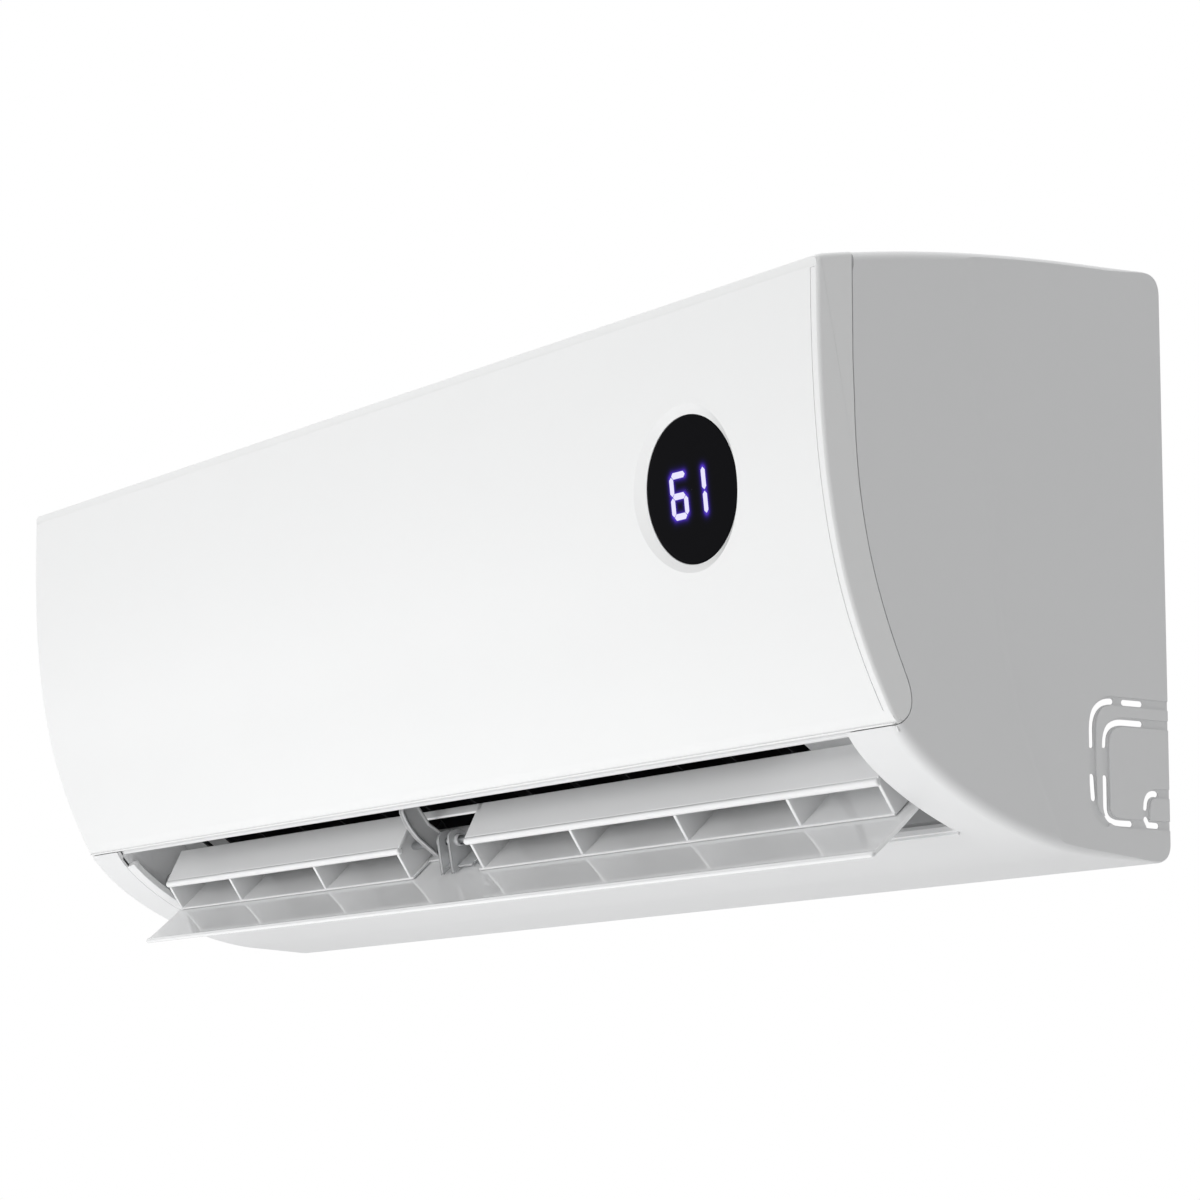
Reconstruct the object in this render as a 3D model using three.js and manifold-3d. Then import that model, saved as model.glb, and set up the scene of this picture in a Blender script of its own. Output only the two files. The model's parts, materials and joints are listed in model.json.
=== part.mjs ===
// A wall-mounted air conditioner indoor unit, built as separate pieces around its fan.
// Millimetres. +X is to the right seen from the front, -Y is the front, +Z is up.
// The origin is on the wall, behind the middle of the unit.
import * as THREE from "three";
import { mergeVertices } from "three/addons/utils/BufferGeometryUtils.js";
import Module from "manifold-3d";

const wasm = await Module();
wasm.setup();

// ---- Driving dimensions -------------------------------------------------------------
const HALF_WIDTH = 410; // the unit is 820 wide, 280 high and 200 deep
const TOP_Z = 140;
const BOTTOM_Z = -140;
const WALL = 2.5; // moulded plastic thickness
const GAP = 0.4; // between pieces that touch
const SKIN_GAP = 1.2; // the visible seam round the front panel

const EDGE_RADIUS = 2.5; // ends of the front panel and the top
const CHEEK_RADIUS = 6; // lower ends, beside the outlet

const FRAME_INSET = 12; // front frame behind the panel's face
const FILTER_INSET = 16.5;

const OUTLET_LEFT = -373; // inner faces of the two cheeks
const OUTLET_RIGHT = 373;
const DUCT_LEFT = -345; // the air duct that the fan blows through
const DUCT_RIGHT = 275;

const FAN = { y: -88, z: -5, r: 44, left: -334, right: 262 };
const FAN_BLADES = 16;
const FAN_DISCS = 3;

const FLAP_AXIS = { y: -120.2, z: -101 }; // the outlet flap's hinge line
const FLAP_LEFT = -364.5;
const FLAP_RIGHT = 368.5;
const FLAP_THICK = 2.2;
const LOUVER_RIBS = [-358.5, -281, -178, -82, -4, 94, 190, 285, 358];
const LOUVER_WINDOW = [-78, -8]; // the gap in the inner louver at the middle support

const VANES_PER_BANK = 6;
const VANE_BANKS = [
  { name: "left", start: -295, pitch: 49 },
  { name: "right", start: 8, pitch: 48 },
];
const VANE_THICK = 1.6;
const VANE_PIVOT_DEPTH = 44; // how far inside the outlet the vanes turn
const VANE_PEG_DEPTH = 35; // where the link bar holds them

const PANEL_HINGE = { y: -187, z: 123 };

// The round display is sunk and turned a little towards the right end.
const DISPLAY = { x: 299.5, z: 33.8, mouth: 42.5, disc: 35, depth: 2.4 };
const DISPLAY_TURN = THREE.MathUtils.degToRad(2.5);

// ---- Colours ------------------------------------------------------------------------
const finish = (color, roughness, metalness = 0) =>
  new THREE.MeshStandardMaterial({ color, roughness, metalness });
const WHITE_GLOSS = finish(0xf2f3f3, 0.22);
const WHITE_SATIN = finish(0xe6e7e7, 0.45);
const FLAP_WHITE = finish(0xe2e3e4, 0.25);
const INNER_GREY = finish(0xb9bbbc, 0.5);
const BLACK_PLASTIC = finish(0x1d1e1f, 0.45);
const BLACK_GLASS = finish(0x08080a, 0.08);
const CLEAR_PLASTIC = finish(0xdfe2e4, 0.2);
const STEEL = finish(0x9a9da0, 0.35, 0.9);
const ZINC_PLATE = finish(0xb6b9bb, 0.4, 0.8);
const ALUMINIUM = finish(0xc4c7ca, 0.4, 0.8);
const COPPER = finish(0xb8734a, 0.35, 0.9);
const BRASS = finish(0xc2a25a, 0.35, 0.9);
const GREEN_BOARD = finish(0x1f6a3c, 0.5);
const RUBBER = finish(0x26282a, 0.8);
const FILTER_MESH = finish(0x4a5560, 0.7);

// ---- Solids -------------------------------------------------------------------------
function solid(geometry) {
  const bare = new THREE.BufferGeometry();
  bare.setAttribute("position", geometry.getAttribute("position"));
  if (geometry.index) bare.setIndex(geometry.index);
  const merged = mergeVertices(bare, 1e-4);
  const mesh = new wasm.Mesh({
    numProp: 3,
    vertProperties: merged.attributes.position.array,
    triVerts: new Uint32Array(merged.index.array),
  });
  return new wasm.Manifold(mesh);
}

function join(...solids) {
  return solids.reduce((whole, next) => whole.add(next));
}

function cut(body, ...tools) {
  return tools.reduce((left, tool) => left.subtract(tool), body);
}

const root = new THREE.Group();

function piece(name, body, material) {
  const { vertProperties, triVerts } = body.getMesh();
  const geometry = new THREE.BufferGeometry();
  geometry.setAttribute("position", new THREE.BufferAttribute(vertProperties, 3));
  geometry.setIndex(new THREE.BufferAttribute(triVerts, 1));
  geometry.computeVertexNormals();
  const mesh = new THREE.Mesh(geometry, material);
  mesh.name = name;
  root.add(mesh);
}

// Local x, y, z of a drawn outline become the unit's Y, Z and X.
const SIDEWAYS = new THREE.Matrix4().set(0, 0, 1, 0, 1, 0, 0, 0, 0, 1, 0, 0, 0, 0, 0, 1);

// An outline drawn in the side view as [y, z] points, run along X.
function runX(points, x0, x1, bevel = 0) {
  const shape = new THREE.Shape(points.map(([y, z]) => new THREE.Vector2(y, z)));
  const geometry = new THREE.ExtrudeGeometry(shape, {
    depth: x1 - x0 - 2 * bevel,
    bevelEnabled: bevel > 0,
    bevelThickness: bevel,
    bevelSize: bevel,
    bevelOffset: -bevel,
    bevelSegments: bevel > 3 ? 3 : 1,
  });
  geometry.translate(0, 0, x0 + bevel);
  return solid(geometry.applyMatrix4(SIDEWAYS));
}

function box(x, y, z) {
  const geometry = new THREE.BoxGeometry(x[1] - x[0], y[1] - y[0], z[1] - z[0]);
  geometry.translate((x[0] + x[1]) / 2, (y[0] + y[1]) / 2, (z[0] + z[1]) / 2);
  return solid(geometry);
}

// A round bar between two points.
function bar(from, to, radius, sides = 16, endRadius = radius) {
  const a = new THREE.Vector3(...from);
  const b = new THREE.Vector3(...to);
  const way = b.clone().sub(a);
  const geometry = new THREE.CylinderGeometry(endRadius, radius, way.length(), sides);
  geometry.translate(0, way.length() / 2, 0);
  const turn = new THREE.Quaternion();
  turn.setFromUnitVectors(new THREE.Vector3(0, 1, 0), way.normalize());
  geometry.applyQuaternion(turn);
  geometry.translate(a.x, a.y, a.z);
  return solid(geometry);
}

const barX = (y, z, x0, x1, radius, sides) => bar([x0, y, z], [x1, y, z], radius, sides);

// A bent pipe along a smooth route.
function pipe(points, radius, sides, steps) {
  const route = new THREE.CatmullRomCurve3(
    points.map((p) => new THREE.Vector3(...p)),
    false,
    "centripetal",
  );
  const section = new THREE.Shape();
  for (let i = 0; i < sides; i++) {
    const angle = (2 * Math.PI * i) / sides;
    const x = radius * Math.cos(angle);
    const y = radius * Math.sin(angle);
    if (i) section.lineTo(x, y);
    else section.moveTo(x, y);
  }
  return solid(new THREE.ExtrudeGeometry(section, { steps, extrudePath: route }));
}

// ---- Side view outlines -------------------------------------------------------------
function bezier(a, b, c, d, steps) {
  const v = [a, b, c, d].map(([y, z]) => new THREE.Vector2(y, z));
  const curve = new THREE.CubicBezierCurve(...v);
  return curve.getPoints(steps).map((p) => [p.x, p.y]);
}

function corner(a, b, c, steps) {
  const v = [a, b, c].map(([y, z]) => new THREE.Vector2(y, z));
  const curve = new THREE.QuadraticBezierCurve(...v);
  return curve.getPoints(steps).map((p) => [p.x, p.y]);
}

function arc(y, z, radius, fromDeg, toDeg, steps) {
  const points = [];
  for (let i = 0; i <= steps; i++) {
    const angle = THREE.MathUtils.degToRad(fromDeg + ((toDeg - fromDeg) * i) / steps);
    points.push([y + radius * Math.cos(angle), z + radius * Math.sin(angle)]);
  }
  return points;
}

// Shifts a line of points sideways, to its left by `d`.
function shift(points, d, closed = false) {
  const n = points.length;
  return points.map((p, i) => {
    const before = points[closed ? (i + n - 1) % n : Math.max(i - 1, 0)];
    const after = points[closed ? (i + 1) % n : Math.min(i + 1, n - 1)];
    const a = new THREE.Vector2(p[0] - before[0], p[1] - before[1]).normalize();
    const b = new THREE.Vector2(after[0] - p[0], after[1] - p[1]).normalize();
    const way = a.clone().add(b).normalize();
    const stretch = 1 / Math.max(a.length() && b.length() ? way.dot(b) : 1, 0.5);
    return [p[0] - way.y * d * stretch, p[1] + way.x * d * stretch];
  });
}

// A wall of even thickness on the left of a line of points.
function strip(points, thickness) {
  const outline = points.concat(shift(points, thickness).reverse());
  const shape = outline.map(([y, z]) => new THREE.Vector2(y, z));
  return THREE.ShapeUtils.area(shape) < 0 ? outline.reverse() : outline;
}

const FRONT_CURVE = bezier([-201, 118], [-201.5, 10], [-188, -34], [-160, -84], 16);
const UNDER_CURVE = bezier([-160, -84], [-148, -106], [-95, -134], [-50, -137.5], 12);
const TOP_CURVE = bezier([-10, TOP_Z], [-70, TOP_Z], [-130, 137], [-197, 124.5], 6);

// Runs anticlockwise in the side view: up the back, over the top and down the front.
const OUTLINE = [
  [0, -130],
  ...corner([0, 129], [0, TOP_Z], [-10, TOP_Z], 4).slice(0, -1),
  ...TOP_CURVE,
  ...corner([-199, 124], [-201.2, 123], [-201.2, 120], 3).slice(1),
  ...FRONT_CURVE,
  ...UNDER_CURVE.slice(1),
  ...corner([-11, BOTTOM_Z + 0.5], [0, BOTTOM_Z], [0, -130], 4).slice(0, -1),
];

// The seam between the front panel and the casing, from the top down.
const SEAM = [
  [-181.6, 160],
  [-181.6, 78],
  ...bezier([-181, 60], [-180.4, 10], [-171.5, -22], [-158, -53], 8),
  ...corner([-154, -62], [-146, -79], [-158.6, -84.6], 5),
];

// Everything in front of the seam moved back by `d`.
function panelZone(d) {
  const seam = shift(SEAM, d);
  const bottom = seam[seam.length - 1][1];
  return runX([...seam, [-230, bottom], [-230, 160]], -HALF_WIDTH - 10, HALF_WIDTH + 10);
}

// The casing's form with its lower ends rounded, shrunk by `d`; `back` is where it ends.
function casingForm(d, back) {
  const half = HALF_WIDTH - d;
  const bottom = BOTTOM_Z + 0.5 + d;
  const inside = shift(OUTLINE, d, true).filter(([y]) => y < -11);
  const side = d ? [[back, bottom], [back, TOP_Z - d], ...inside] : OUTLINE;
  const lower = [
    [60, bottom],
    [60, 300],
    [-300, 300],
    [-300, -84 + d],
    ...shift(UNDER_CURVE, d),
  ];
  const ends = runX(side, -half, half, Math.max(EDGE_RADIUS - d, 0));
  return ends.intersect(runX(lower, -half, half, CHEEK_RADIUS - d));
}

// The height-to-front lookup on the panel's face.
function frontAt(z, inset = 0) {
  const line = shift(FRONT_CURVE, inset);
  const i = line.findIndex(([, height]) => height < z);
  const [a, b] = [line[i - 1], line[i]];
  return THREE.MathUtils.lerp(a[0], b[0], (z - a[1]) / (b[1] - a[1]));
}

// Positions in the outlet: `deep` is the way in along the airflow from the flap's axis,
// `across` is the way back and down along the outlet's mouth.
const INWARDS = { y: 0.566, z: 0.824 };
function duct(deep, across) {
  return [
    FLAP_AXIS.y + deep * INWARDS.y + across * INWARDS.z,
    FLAP_AXIS.z + deep * INWARDS.z - across * INWARDS.y,
  ];
}

const onFan = (x0, x1, radius, sides) => barX(FAN.y, FAN.z, x0, x1, radius, sides);
const onFlapAxis = (x0, x1, radius, sides) =>
  barX(FLAP_AXIS.y, FLAP_AXIS.z, x0, x1, radius, sides);

// The wall behind the fan, from behind it down to the outlet's rear lip.
const SCROLL = [
  ...bezier([-47, 42], [-32, 5], [-34, -52], [-62, -84], 8),
  ...bezier([-66, -88], [-76, -99], [-86, -110], [-93, -119.6], 4),
];
// The curved wall that closes each end of the outlet, clear of the flap's swing.
const END_WALL = [duct(22, -33), duct(22, 2), duct(31, 12), duct(30, 22), duct(24, 30)];

// ---- Wall plate ---------------------------------------------------------------------
const PLATE_HOOKS = [-215, 215];
const HOOK_HALF = 15;

function mountingPlate() {
  let plate = box([-330, 330], [-1.6, 0], [-60, 110]);
  for (const side of [-1, 1]) {
    const window = [60, 185].map((x) => side * x).sort((a, b) => a - b);
    plate = cut(plate, box(window, [-3, 1], [-30, 70]));
    for (const z of [-45, 90])
      for (const x of [30, 300])
        plate = cut(plate, bar([side * x, -3, z], [side * x, 1, z], 3, 8));
  }
  for (const x of PLATE_HOOKS) {
    const across = [x - HOOK_HALF, x + HOOK_HALF];
    plate = join(plate, box(across, [-12, -1], [96, 98.5]));
    plate = join(plate, box(across, [-12, -9.8], [96, 106]));
  }
  return plate;
}
piece("mounting_plate", mountingPlate(), ZINC_PLATE);

// ---- Chassis: back wall, fan scroll and duct ends ------------------------------------
const PIPE_SHAFT = [280, 300]; // where the pipes pass down behind the fan motor
const BACK = { half: 404, y: [-6, -3.6], bottom: -48 };
// The shelf over the pipe channel stops short of the ends, which stay open behind the break-outs.
const SHELF = { half: 345, y: [-48.6, -3.6], z: [-66.4, -64] };

function chassis() {
  let body = box([-BACK.half, BACK.half], BACK.y, [BACK.bottom, 132]);
  body = join(body, box([-SHELF.half, SHELF.half], BACK.y, [-66, BACK.bottom + 1]));
  body = join(body, box([-SHELF.half, SHELF.half], SHELF.y, SHELF.z));
  for (const x of PLATE_HOOKS) {
    const across = [x - HOOK_HALF - 2, x + HOOK_HALF + 2];
    body = cut(body, box(across, [-8, -2], [95, 110]));
  }
  body = cut(body, box(PIPE_SHAFT, [-34, -7], [-70, -60]));
  const scroll = strip(SCROLL, WALL);
  body = join(body, runX(scroll, DUCT_LEFT - WALL, DUCT_RIGHT + WALL));
  const lip = strip(SCROLL.slice(9), WALL);
  body = join(body, runX(lip, OUTLET_LEFT + 0.6, OUTLET_RIGHT - 0.6));
  const end = [
    ...shift(SCROLL, 1).slice(0, 12),
    duct(26, 33),
    duct(33, 20),
    duct(33, 0),
    duct(26, -33),
    [-124, -39],
    [-131, -28],
    [-133, 24],
    [-60, 44],
  ];
  body = join(body, runX(end, DUCT_LEFT - WALL, DUCT_LEFT));
  body = join(body, runX(end, DUCT_RIGHT, DUCT_RIGHT + WALL));
  const wing = strip([...END_WALL, duct(15.5, 38)], 2);
  body = join(body, runX(wing, OUTLET_LEFT + 0.6, DUCT_LEFT));
  body = cut(body, onFan(DUCT_LEFT - 5, DUCT_LEFT + 5, 12.4, 20));
  return cut(body, onFan(DUCT_RIGHT - 5, DUCT_RIGHT + 5, 17, 20));
}
piece("chassis", chassis(), WHITE_SATIN);

// ---- Casing: sides, top grille, bottom, front frame ----------------------------------
const GRILLE = { rows: 8, first: -166, pitch: 17.5, slot: 12, columns: 4, half: 372, rib: 8 };
const FILTER_SPLIT = -36; // the frame's upright between the two filters
const BUTTON = { x: 385, z: 60 };
const SCREWS = [-389, 389];
const SCREW_Z = 20;

function grilleSlots() {
  const slots = [];
  const column = (2 * GRILLE.half) / GRILLE.columns;
  for (let row = 0; row < GRILLE.rows; row++)
    for (let i = 0; i < GRILLE.columns; i++) {
      const x = -GRILLE.half + i * column + GRILLE.rib / 2;
      const y = GRILLE.first + row * GRILLE.pitch;
      slots.push(box([x, x + column - GRILLE.rib], [y, y + GRILLE.slot], [115, 150]));
    }
  return slots;
}

// Break-out outlines for the pipes, low at the back of each side: [y, z] low and high.
const KNOCKOUT_SLOTS = [
  [[-47.6, -45.6], [-88, -73]],
  [[-41, -30], [-67.2, -65.2]],
  [[-26.5, -16.5], [-67.2, -65.2]],
  [[-47.2, -45.4], [-112, -101]],
  [[-39.6, -37.6], [-87, -80]],
  [[-34, -16.5], [-77, -75]],
  [[-39.4, -37.4], [-120, -101.5]],
  [[-37, -24], [-123.2, -121.2]],
  [[-15.6, -13.6], [-117, -110]],
  [[-13.6, -8], [-108.6, -106.6]],
  [[-13.6, -8], [-123.2, -121.2]],
];

function hingeCradle(side) {
  const { y, z } = PANEL_HINGE;
  const across = [400.5, 406.6].map((x) => side * x).sort((a, b) => a - b);
  // the panel's top edge swings through here when the panel lifts
  const sweep = [[y, z + 0.1], [y + 4, z - 8], [y + 8, z - 8], [y + 8, z + 8], [y, z + 8]];
  const block = box(across, [y - 4.5, y + 8], [z - 13, z - 0.8]);
  return cut(block, runX(sweep, -420, 420), barX(y, z, -420, 420, 1.7, 12));
}

// The hooked lip over the outlet, which shows as a light strip under the panel's edge.
const OUTLET_LIP = [
  [-145.6, -76.2], [-149.2, -78.4], [-154.2, -81.3], [-155.7, -83], [-155.3, -84.8],
  [-153.6, -85.8], [-152, -85.3], [-151.9, -83.4], [-148.3, -80.1], [-144.8, -77.7],
];
// The flange along the outlet's rear edge, clear of the flap's swing.
const REAR_LIP = [[-97.6, -127.2], [-96.6, -124.6], [-94, -121.5]];
const REAR_LIP_THICK = 1.4;

function frontFrame() {
  const face = shift(FRONT_CURVE, FRAME_INSET).filter(([, z]) => z < 113);
  const { y } = PANEL_HINGE;
  let frame = runX(strip(face, WALL), -404.6, 404.6);
  for (const x of [[-342, FILTER_SPLIT - 4], [FILTER_SPLIT + 4, 272]])
    frame = cut(frame, box(x, [-205, -150], [-30, 103]));
  const top = [
    [-189.8, 109.5], [-176.5, 109.5], [-176.5, 125.6],
    [-179, 125.6], [-179, 112], [-189.8, 112],
  ];
  frame = join(frame, runX(top, -406.9, 406.9));
  frame = join(frame, runX(OUTLET_LIP, OUTLET_LEFT - 1, OUTLET_RIGHT + 1));
  frame = join(frame, runX(strip(REAR_LIP, -REAR_LIP_THICK), OUTLET_LEFT - 1, OUTLET_RIGHT + 1));
  for (const side of [-1, 1]) {
    const span = (a, b) => [side * a, side * b].sort((p, q) => p - q);
    const seam = shift(SEAM, SKIN_GAP).filter(([, z]) => z < 112);
    const above = ([, z]) => z > -56;
    const rebate = strip(seam, WALL);
    const inRebate = shift(seam, WALL / 3).filter(above);
    const flange = [...shift(face, WALL / 3).filter(above), ...inRebate.reverse()];
    frame = join(frame, runX(flange, ...span(401.8, 404.1)));
    frame = join(frame, runX(rebate, ...span(402.2, 408.5)));
    frame = join(frame, hingeCradle(side));
  }
  frame = cut(frame, bar([BUTTON.x, -200, BUTTON.z], [BUTTON.x, -170, BUTTON.z], 4.5, 16));
  for (const x of SCREWS) frame = cut(frame, bar([x, -200, SCREW_Z], [x, -170, SCREW_Z], 2.2, 10));
  return frame;
}

function cheekWalls() {
  const inner = [[-88, -129], [-84, -112], [-98, -70], [-140, -66], [-153, -78]];
  const side = [...shift(UNDER_CURVE, 1).filter(([y]) => y > -156 && y < -92), ...inner];
  const ledge = strip(shift(UNDER_CURVE, 3.4).filter(([y]) => y > -152 && y < -104), 2.4);
  const left = join(runX(side, OUTLET_LEFT - WALL, OUTLET_LEFT), runX(ledge, OUTLET_LEFT - 1, -366.5));
  const right = join(runX(side, OUTLET_RIGHT, OUTLET_RIGHT + WALL), runX(ledge, 370.6, OUTLET_RIGHT + 1));
  return [left, cut(right, onFlapAxis(370, 380, 4.8, 16))];
}

function casing() {
  const outlet = [
    [-175, -85.1],
    [-152, -80],
    [-95.5, -116],
    [-97.6, -122.5],
    [-101.5, -136],
    [-175, -136],
  ];
  const mouthCut = runX(outlet, OUTLET_LEFT, OUTLET_RIGHT);
  const recesses = [casingForm(WALL, 20), panelZone(SKIN_GAP), mouthCut];
  let body = cut(casingForm(0), ...recesses, ...grilleSlots());
  for (const [y, z] of KNOCKOUT_SLOTS)
    body = cut(body, box([-420, -400], y, z), box([400, 420], y, z));
  return join(body, frontFrame(), ...cheekWalls());
}
piece("casing", casing(), WHITE_SATIN);

// ---- Front panel and its display ------------------------------------------------------
const TILT = Math.atan2(frontAt(DISPLAY.z - 5) - frontAt(DISPLAY.z + 5), 10);
// A round piece centred on the display, `from` and `to` being depths under the panel's face.
function onDisplay(from, to, radius, sides = 30, endRadius = radius) {
  const level = Math.cos(DISPLAY_TURN);
  const at = (depth) => [
    DISPLAY.x - depth * Math.sin(DISPLAY_TURN),
    frontAt(DISPLAY.z) + depth * level * Math.cos(TILT),
    DISPLAY.z + depth * level * Math.sin(TILT),
  ];
  return bar(at(from), at(to), radius, sides, endRadius);
}

function frontPanel() {
  const outer = runX(OUTLINE, -HALF_WIDTH, HALF_WIDTH, EDGE_RADIUS);
  const inner = runX(shift(OUTLINE, WALL, true), WALL - HALF_WIDTH, HALF_WIDTH - WALL);
  let panel = cut(outer, inner).intersect(panelZone(0));
  panel = cut(panel, onDisplay(-4, 14, DISPLAY.mouth + GAP));
  for (const side of [-1, 1]) {
    const pin = [400.8, HALF_WIDTH - 1].map((x) => side * x).sort((a, b) => a - b);
    panel = join(panel, barX(PANEL_HINGE.y, PANEL_HINGE.z, ...pin, 1.3, 10));
  }
  return panel;
}
piece("front_panel", frontPanel(), WHITE_GLOSS);

const { mouth, disc, depth } = DISPLAY;
const cone = onDisplay(-2, depth, mouth + 1.5, 30, disc + GAP);
const bezelBore = join(cone, onDisplay(depth - 0.5, 14, disc + GAP));
const flushRing = onDisplay(-3, depth + 5, mouth).intersect(runX(OUTLINE, 200, 400));
piece("display_bezel", cut(flushRing, bezelBore), WHITE_GLOSS);
piece("display_lens", onDisplay(depth - 1, depth + 1.6, disc), BLACK_GLASS);
const ledBlock = onDisplay(depth + 2, depth + 2.6, disc - 10, 12);
piece("display_board", join(onDisplay(depth + 2.4, depth + 4, disc - 2, 24), ledBlock), GREEN_BOARD);

// ---- Outlet flap: outer plate, inner louver, axle and clip ----------------------------
const FLAP_FRONT = [-142.5, -138.1];
const FLAP_REAR = [-91.5, -88.8];
const FLAP_BULGE = 3;
const FLAP_FACE = corner(
  FLAP_FRONT,
  [
    (FLAP_FRONT[0] + FLAP_REAR[0]) / 2 + FLAP_BULGE * 0.695,
    (FLAP_FRONT[1] + FLAP_REAR[1]) / 2 - FLAP_BULGE * 0.719,
  ],
  FLAP_REAR,
  10,
);
const LOUVER_FRONT = [-130.8, -104.5];
const LOUVER_TOP = [-120.9, -84.5];
const LOUVER_FOOT = FLAP_FACE.filter(([y]) => y > -122 && y < -103);

piece("flap_outer", runX(strip(FLAP_FACE, -FLAP_THICK), FLAP_LEFT, FLAP_RIGHT, 0.6), FLAP_WHITE);

function flapLouver() {
  const leaf = strip([LOUVER_FRONT, LOUVER_TOP], 1.8);
  const foot = strip(shift(LOUVER_FOOT, GAP), 1.2);
  const [first, last] = [LOUVER_RIBS[0] - 1, LOUVER_RIBS[8] + 1];
  const lipRound = barX(LOUVER_FRONT[0] + 1.1, LOUVER_FRONT[1] + 0.4, first, last, 2, 10);
  let louver = join(runX(leaf, first, last), lipRound, runX(foot, first, last));
  const [ribFront, ribTop] = shift([LOUVER_FRONT, LOUVER_TOP], 0.6);
  const rib = [ribFront, ...shift(LOUVER_FOOT, GAP + 0.6), ribTop];
  for (const x of LOUVER_RIBS) louver = join(louver, runX(rib, x - 1, x + 1));
  // the window leaves only a bar along the louver's top
  const window = [[-140, -118], [-112, -112], [-112, -95], [-118.5, -88], [-124, -88], [-140, -100]];
  return cut(louver, runX(window, ...LOUVER_WINDOW));
}
piece("flap_louver", flapLouver(), FLAP_WHITE);

piece("flap_axle", onFlapAxis(LOUVER_RIBS[3] + 1.4, LOUVER_RIBS[4] - 1.4, 2, 12), STEEL);

const CLIP = [-45.5, -33];
function flapClip() {
  const foot = shift(LOUVER_FOOT, 2 * GAP + 1.2).filter(([y]) => y < -108);
  const { y, z } = FLAP_AXIS;
  const stem = [[y - 5, z + 1], ...foot, [y + 5, z + 3]];
  const eye = onFlapAxis(...CLIP, 5.5, 18);
  return cut(join(runX(stem, ...CLIP), eye), onFlapAxis(-60, -20, 2.3, 14));
}
piece("flap_clip", flapClip(), CLEAR_PLASTIC);
piece("flap_pin_left", onFlapAxis(OUTLET_LEFT + 1, LOUVER_RIBS[0] - 1.4, 3, 14), STEEL);
piece("flap_coupling", onFlapAxis(LOUVER_RIBS[8] + 1.4, 376.5, 4, 14), BLACK_PLASTIC);

// ---- What carries the flap -------------------------------------------------------------
const bush = cut(onFlapAxis(OUTLET_LEFT + GAP, -366.8, 5.6, 18), onFlapAxis(-380, -360, 3.3, 14));
piece("flap_bush_left", bush, CLEAR_PLASTIC);

function flapSupport() {
  const { y, z } = FLAP_AXIS;
  const arm = [
    [-143, -78.6], [-147.4, -82.2], [-146, -87.5], [-139, -96], [-130.5, -105],
    [y - 3, z - 5.2], [y + 2, z + 5], [-130, -92], [-137, -81],
  ];
  const body = join(runX(arm, -52, -48), onFlapAxis(-52, -48, 5.6, 18));
  return cut(body, onFlapAxis(-60, -40, 2.4, 14));
}
piece("flap_support", flapSupport(), INNER_GREY);

function flapMotor() {
  const { y, z } = FLAP_AXIS;
  const [my, mz] = duct(8, 0);
  const ears = box([378, 380], [my - 20, my + 20], [mz - 4, mz + 4]);
  const body = join(barX(my, mz, 378, 397, 14, 24), ears, onFlapAxis(376.9, 379, 2.5, 10));
  return join(body, box([384, 394], [y + 2, y + 24], [z + 4, z + 16]));
}
piece("flap_motor", flapMotor(), STEEL);

// ---- Vertical vanes in the duct, and the bar that links each bank ------------------------
const VANE_OUTLINE = [
  duct(49, -30),
  duct(28, -30),
  duct(31, 10),
  duct(28, 22),
  duct(30, 32),
  duct(50, 34),
];
const acrossBar = (x, deep, from, to, radius, sides) =>
  bar([x, ...duct(deep, from)], [x, ...duct(deep, to)], radius, sides);

for (const { name, start, pitch } of VANE_BANKS) {
  const low = start - 6;
  const high = start + pitch * (VANES_PER_BANK - 1) + 6;
  const section = [duct(32.6, -34.6), duct(37.4, -34.6), duct(37.4, -32.8), duct(32.6, -32.8)];
  let link = runX(section, low, high);
  for (let i = 0; i < VANES_PER_BANK; i++) {
    const x = start + i * pitch;
    const leaf = runX(VANE_OUTLINE, x - VANE_THICK / 2, x + VANE_THICK / 2);
    const pivots = [
      acrossBar(x, VANE_PIVOT_DEPTH, -29.5, -37, 1.5, 6),
      acrossBar(x, VANE_PIVOT_DEPTH, 33, 36.8, 1.5, 6),
      acrossBar(x, VANE_PEG_DEPTH, -29.5, -35, 1.1, 6),
    ];
    piece(`vane_${name}_${i + 1}`, join(leaf, ...pivots), BLACK_PLASTIC);
    link = cut(link, acrossBar(x, VANE_PEG_DEPTH, -40, -25, 1.7, 8));
  }
  piece(`vane_link_${name}`, link, BLACK_PLASTIC);
}

// ---- Drain pan: trough under the coil and roof of the outlet ------------------------------
function drainPan() {
  const trough = strip([[-161.2, -28], [-161.2, -42.4], [-136.2, -42.4], [-136.2, -28]], -1.4);
  const tongue = strip([[-137, -44], [-124, -40]], 2);
  const roof = strip([[-124, -40], [-144.4, -71.6]], -2);
  const pan = join(runX(trough, -352, 282), runX(tongue, -344, 274), runX(roof, -344, 274));
  const roofEnd = strip([duct(26, -37.6), [-144.4, -71.6]], -2);
  const spout = bar([270, -150, -43.4], [270, -150, -56], 6, 14);
  const ends = [-353, 281].map((x) => box([x, x + 2], [-162.6, -134.8], [-43.8, -28]));
  return join(pan, runX(roofEnd, -372, 372), spout, ...ends);
}
piece("drain_pan", drainPan(), BLACK_PLASTIC);

const coverWall = strip([...END_WALL, duct(18, 32.5)], 2);
piece("motor_cover", runX(coverWall, DUCT_RIGHT + WALL + GAP, OUTLET_RIGHT - 1), INNER_GREY);

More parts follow.
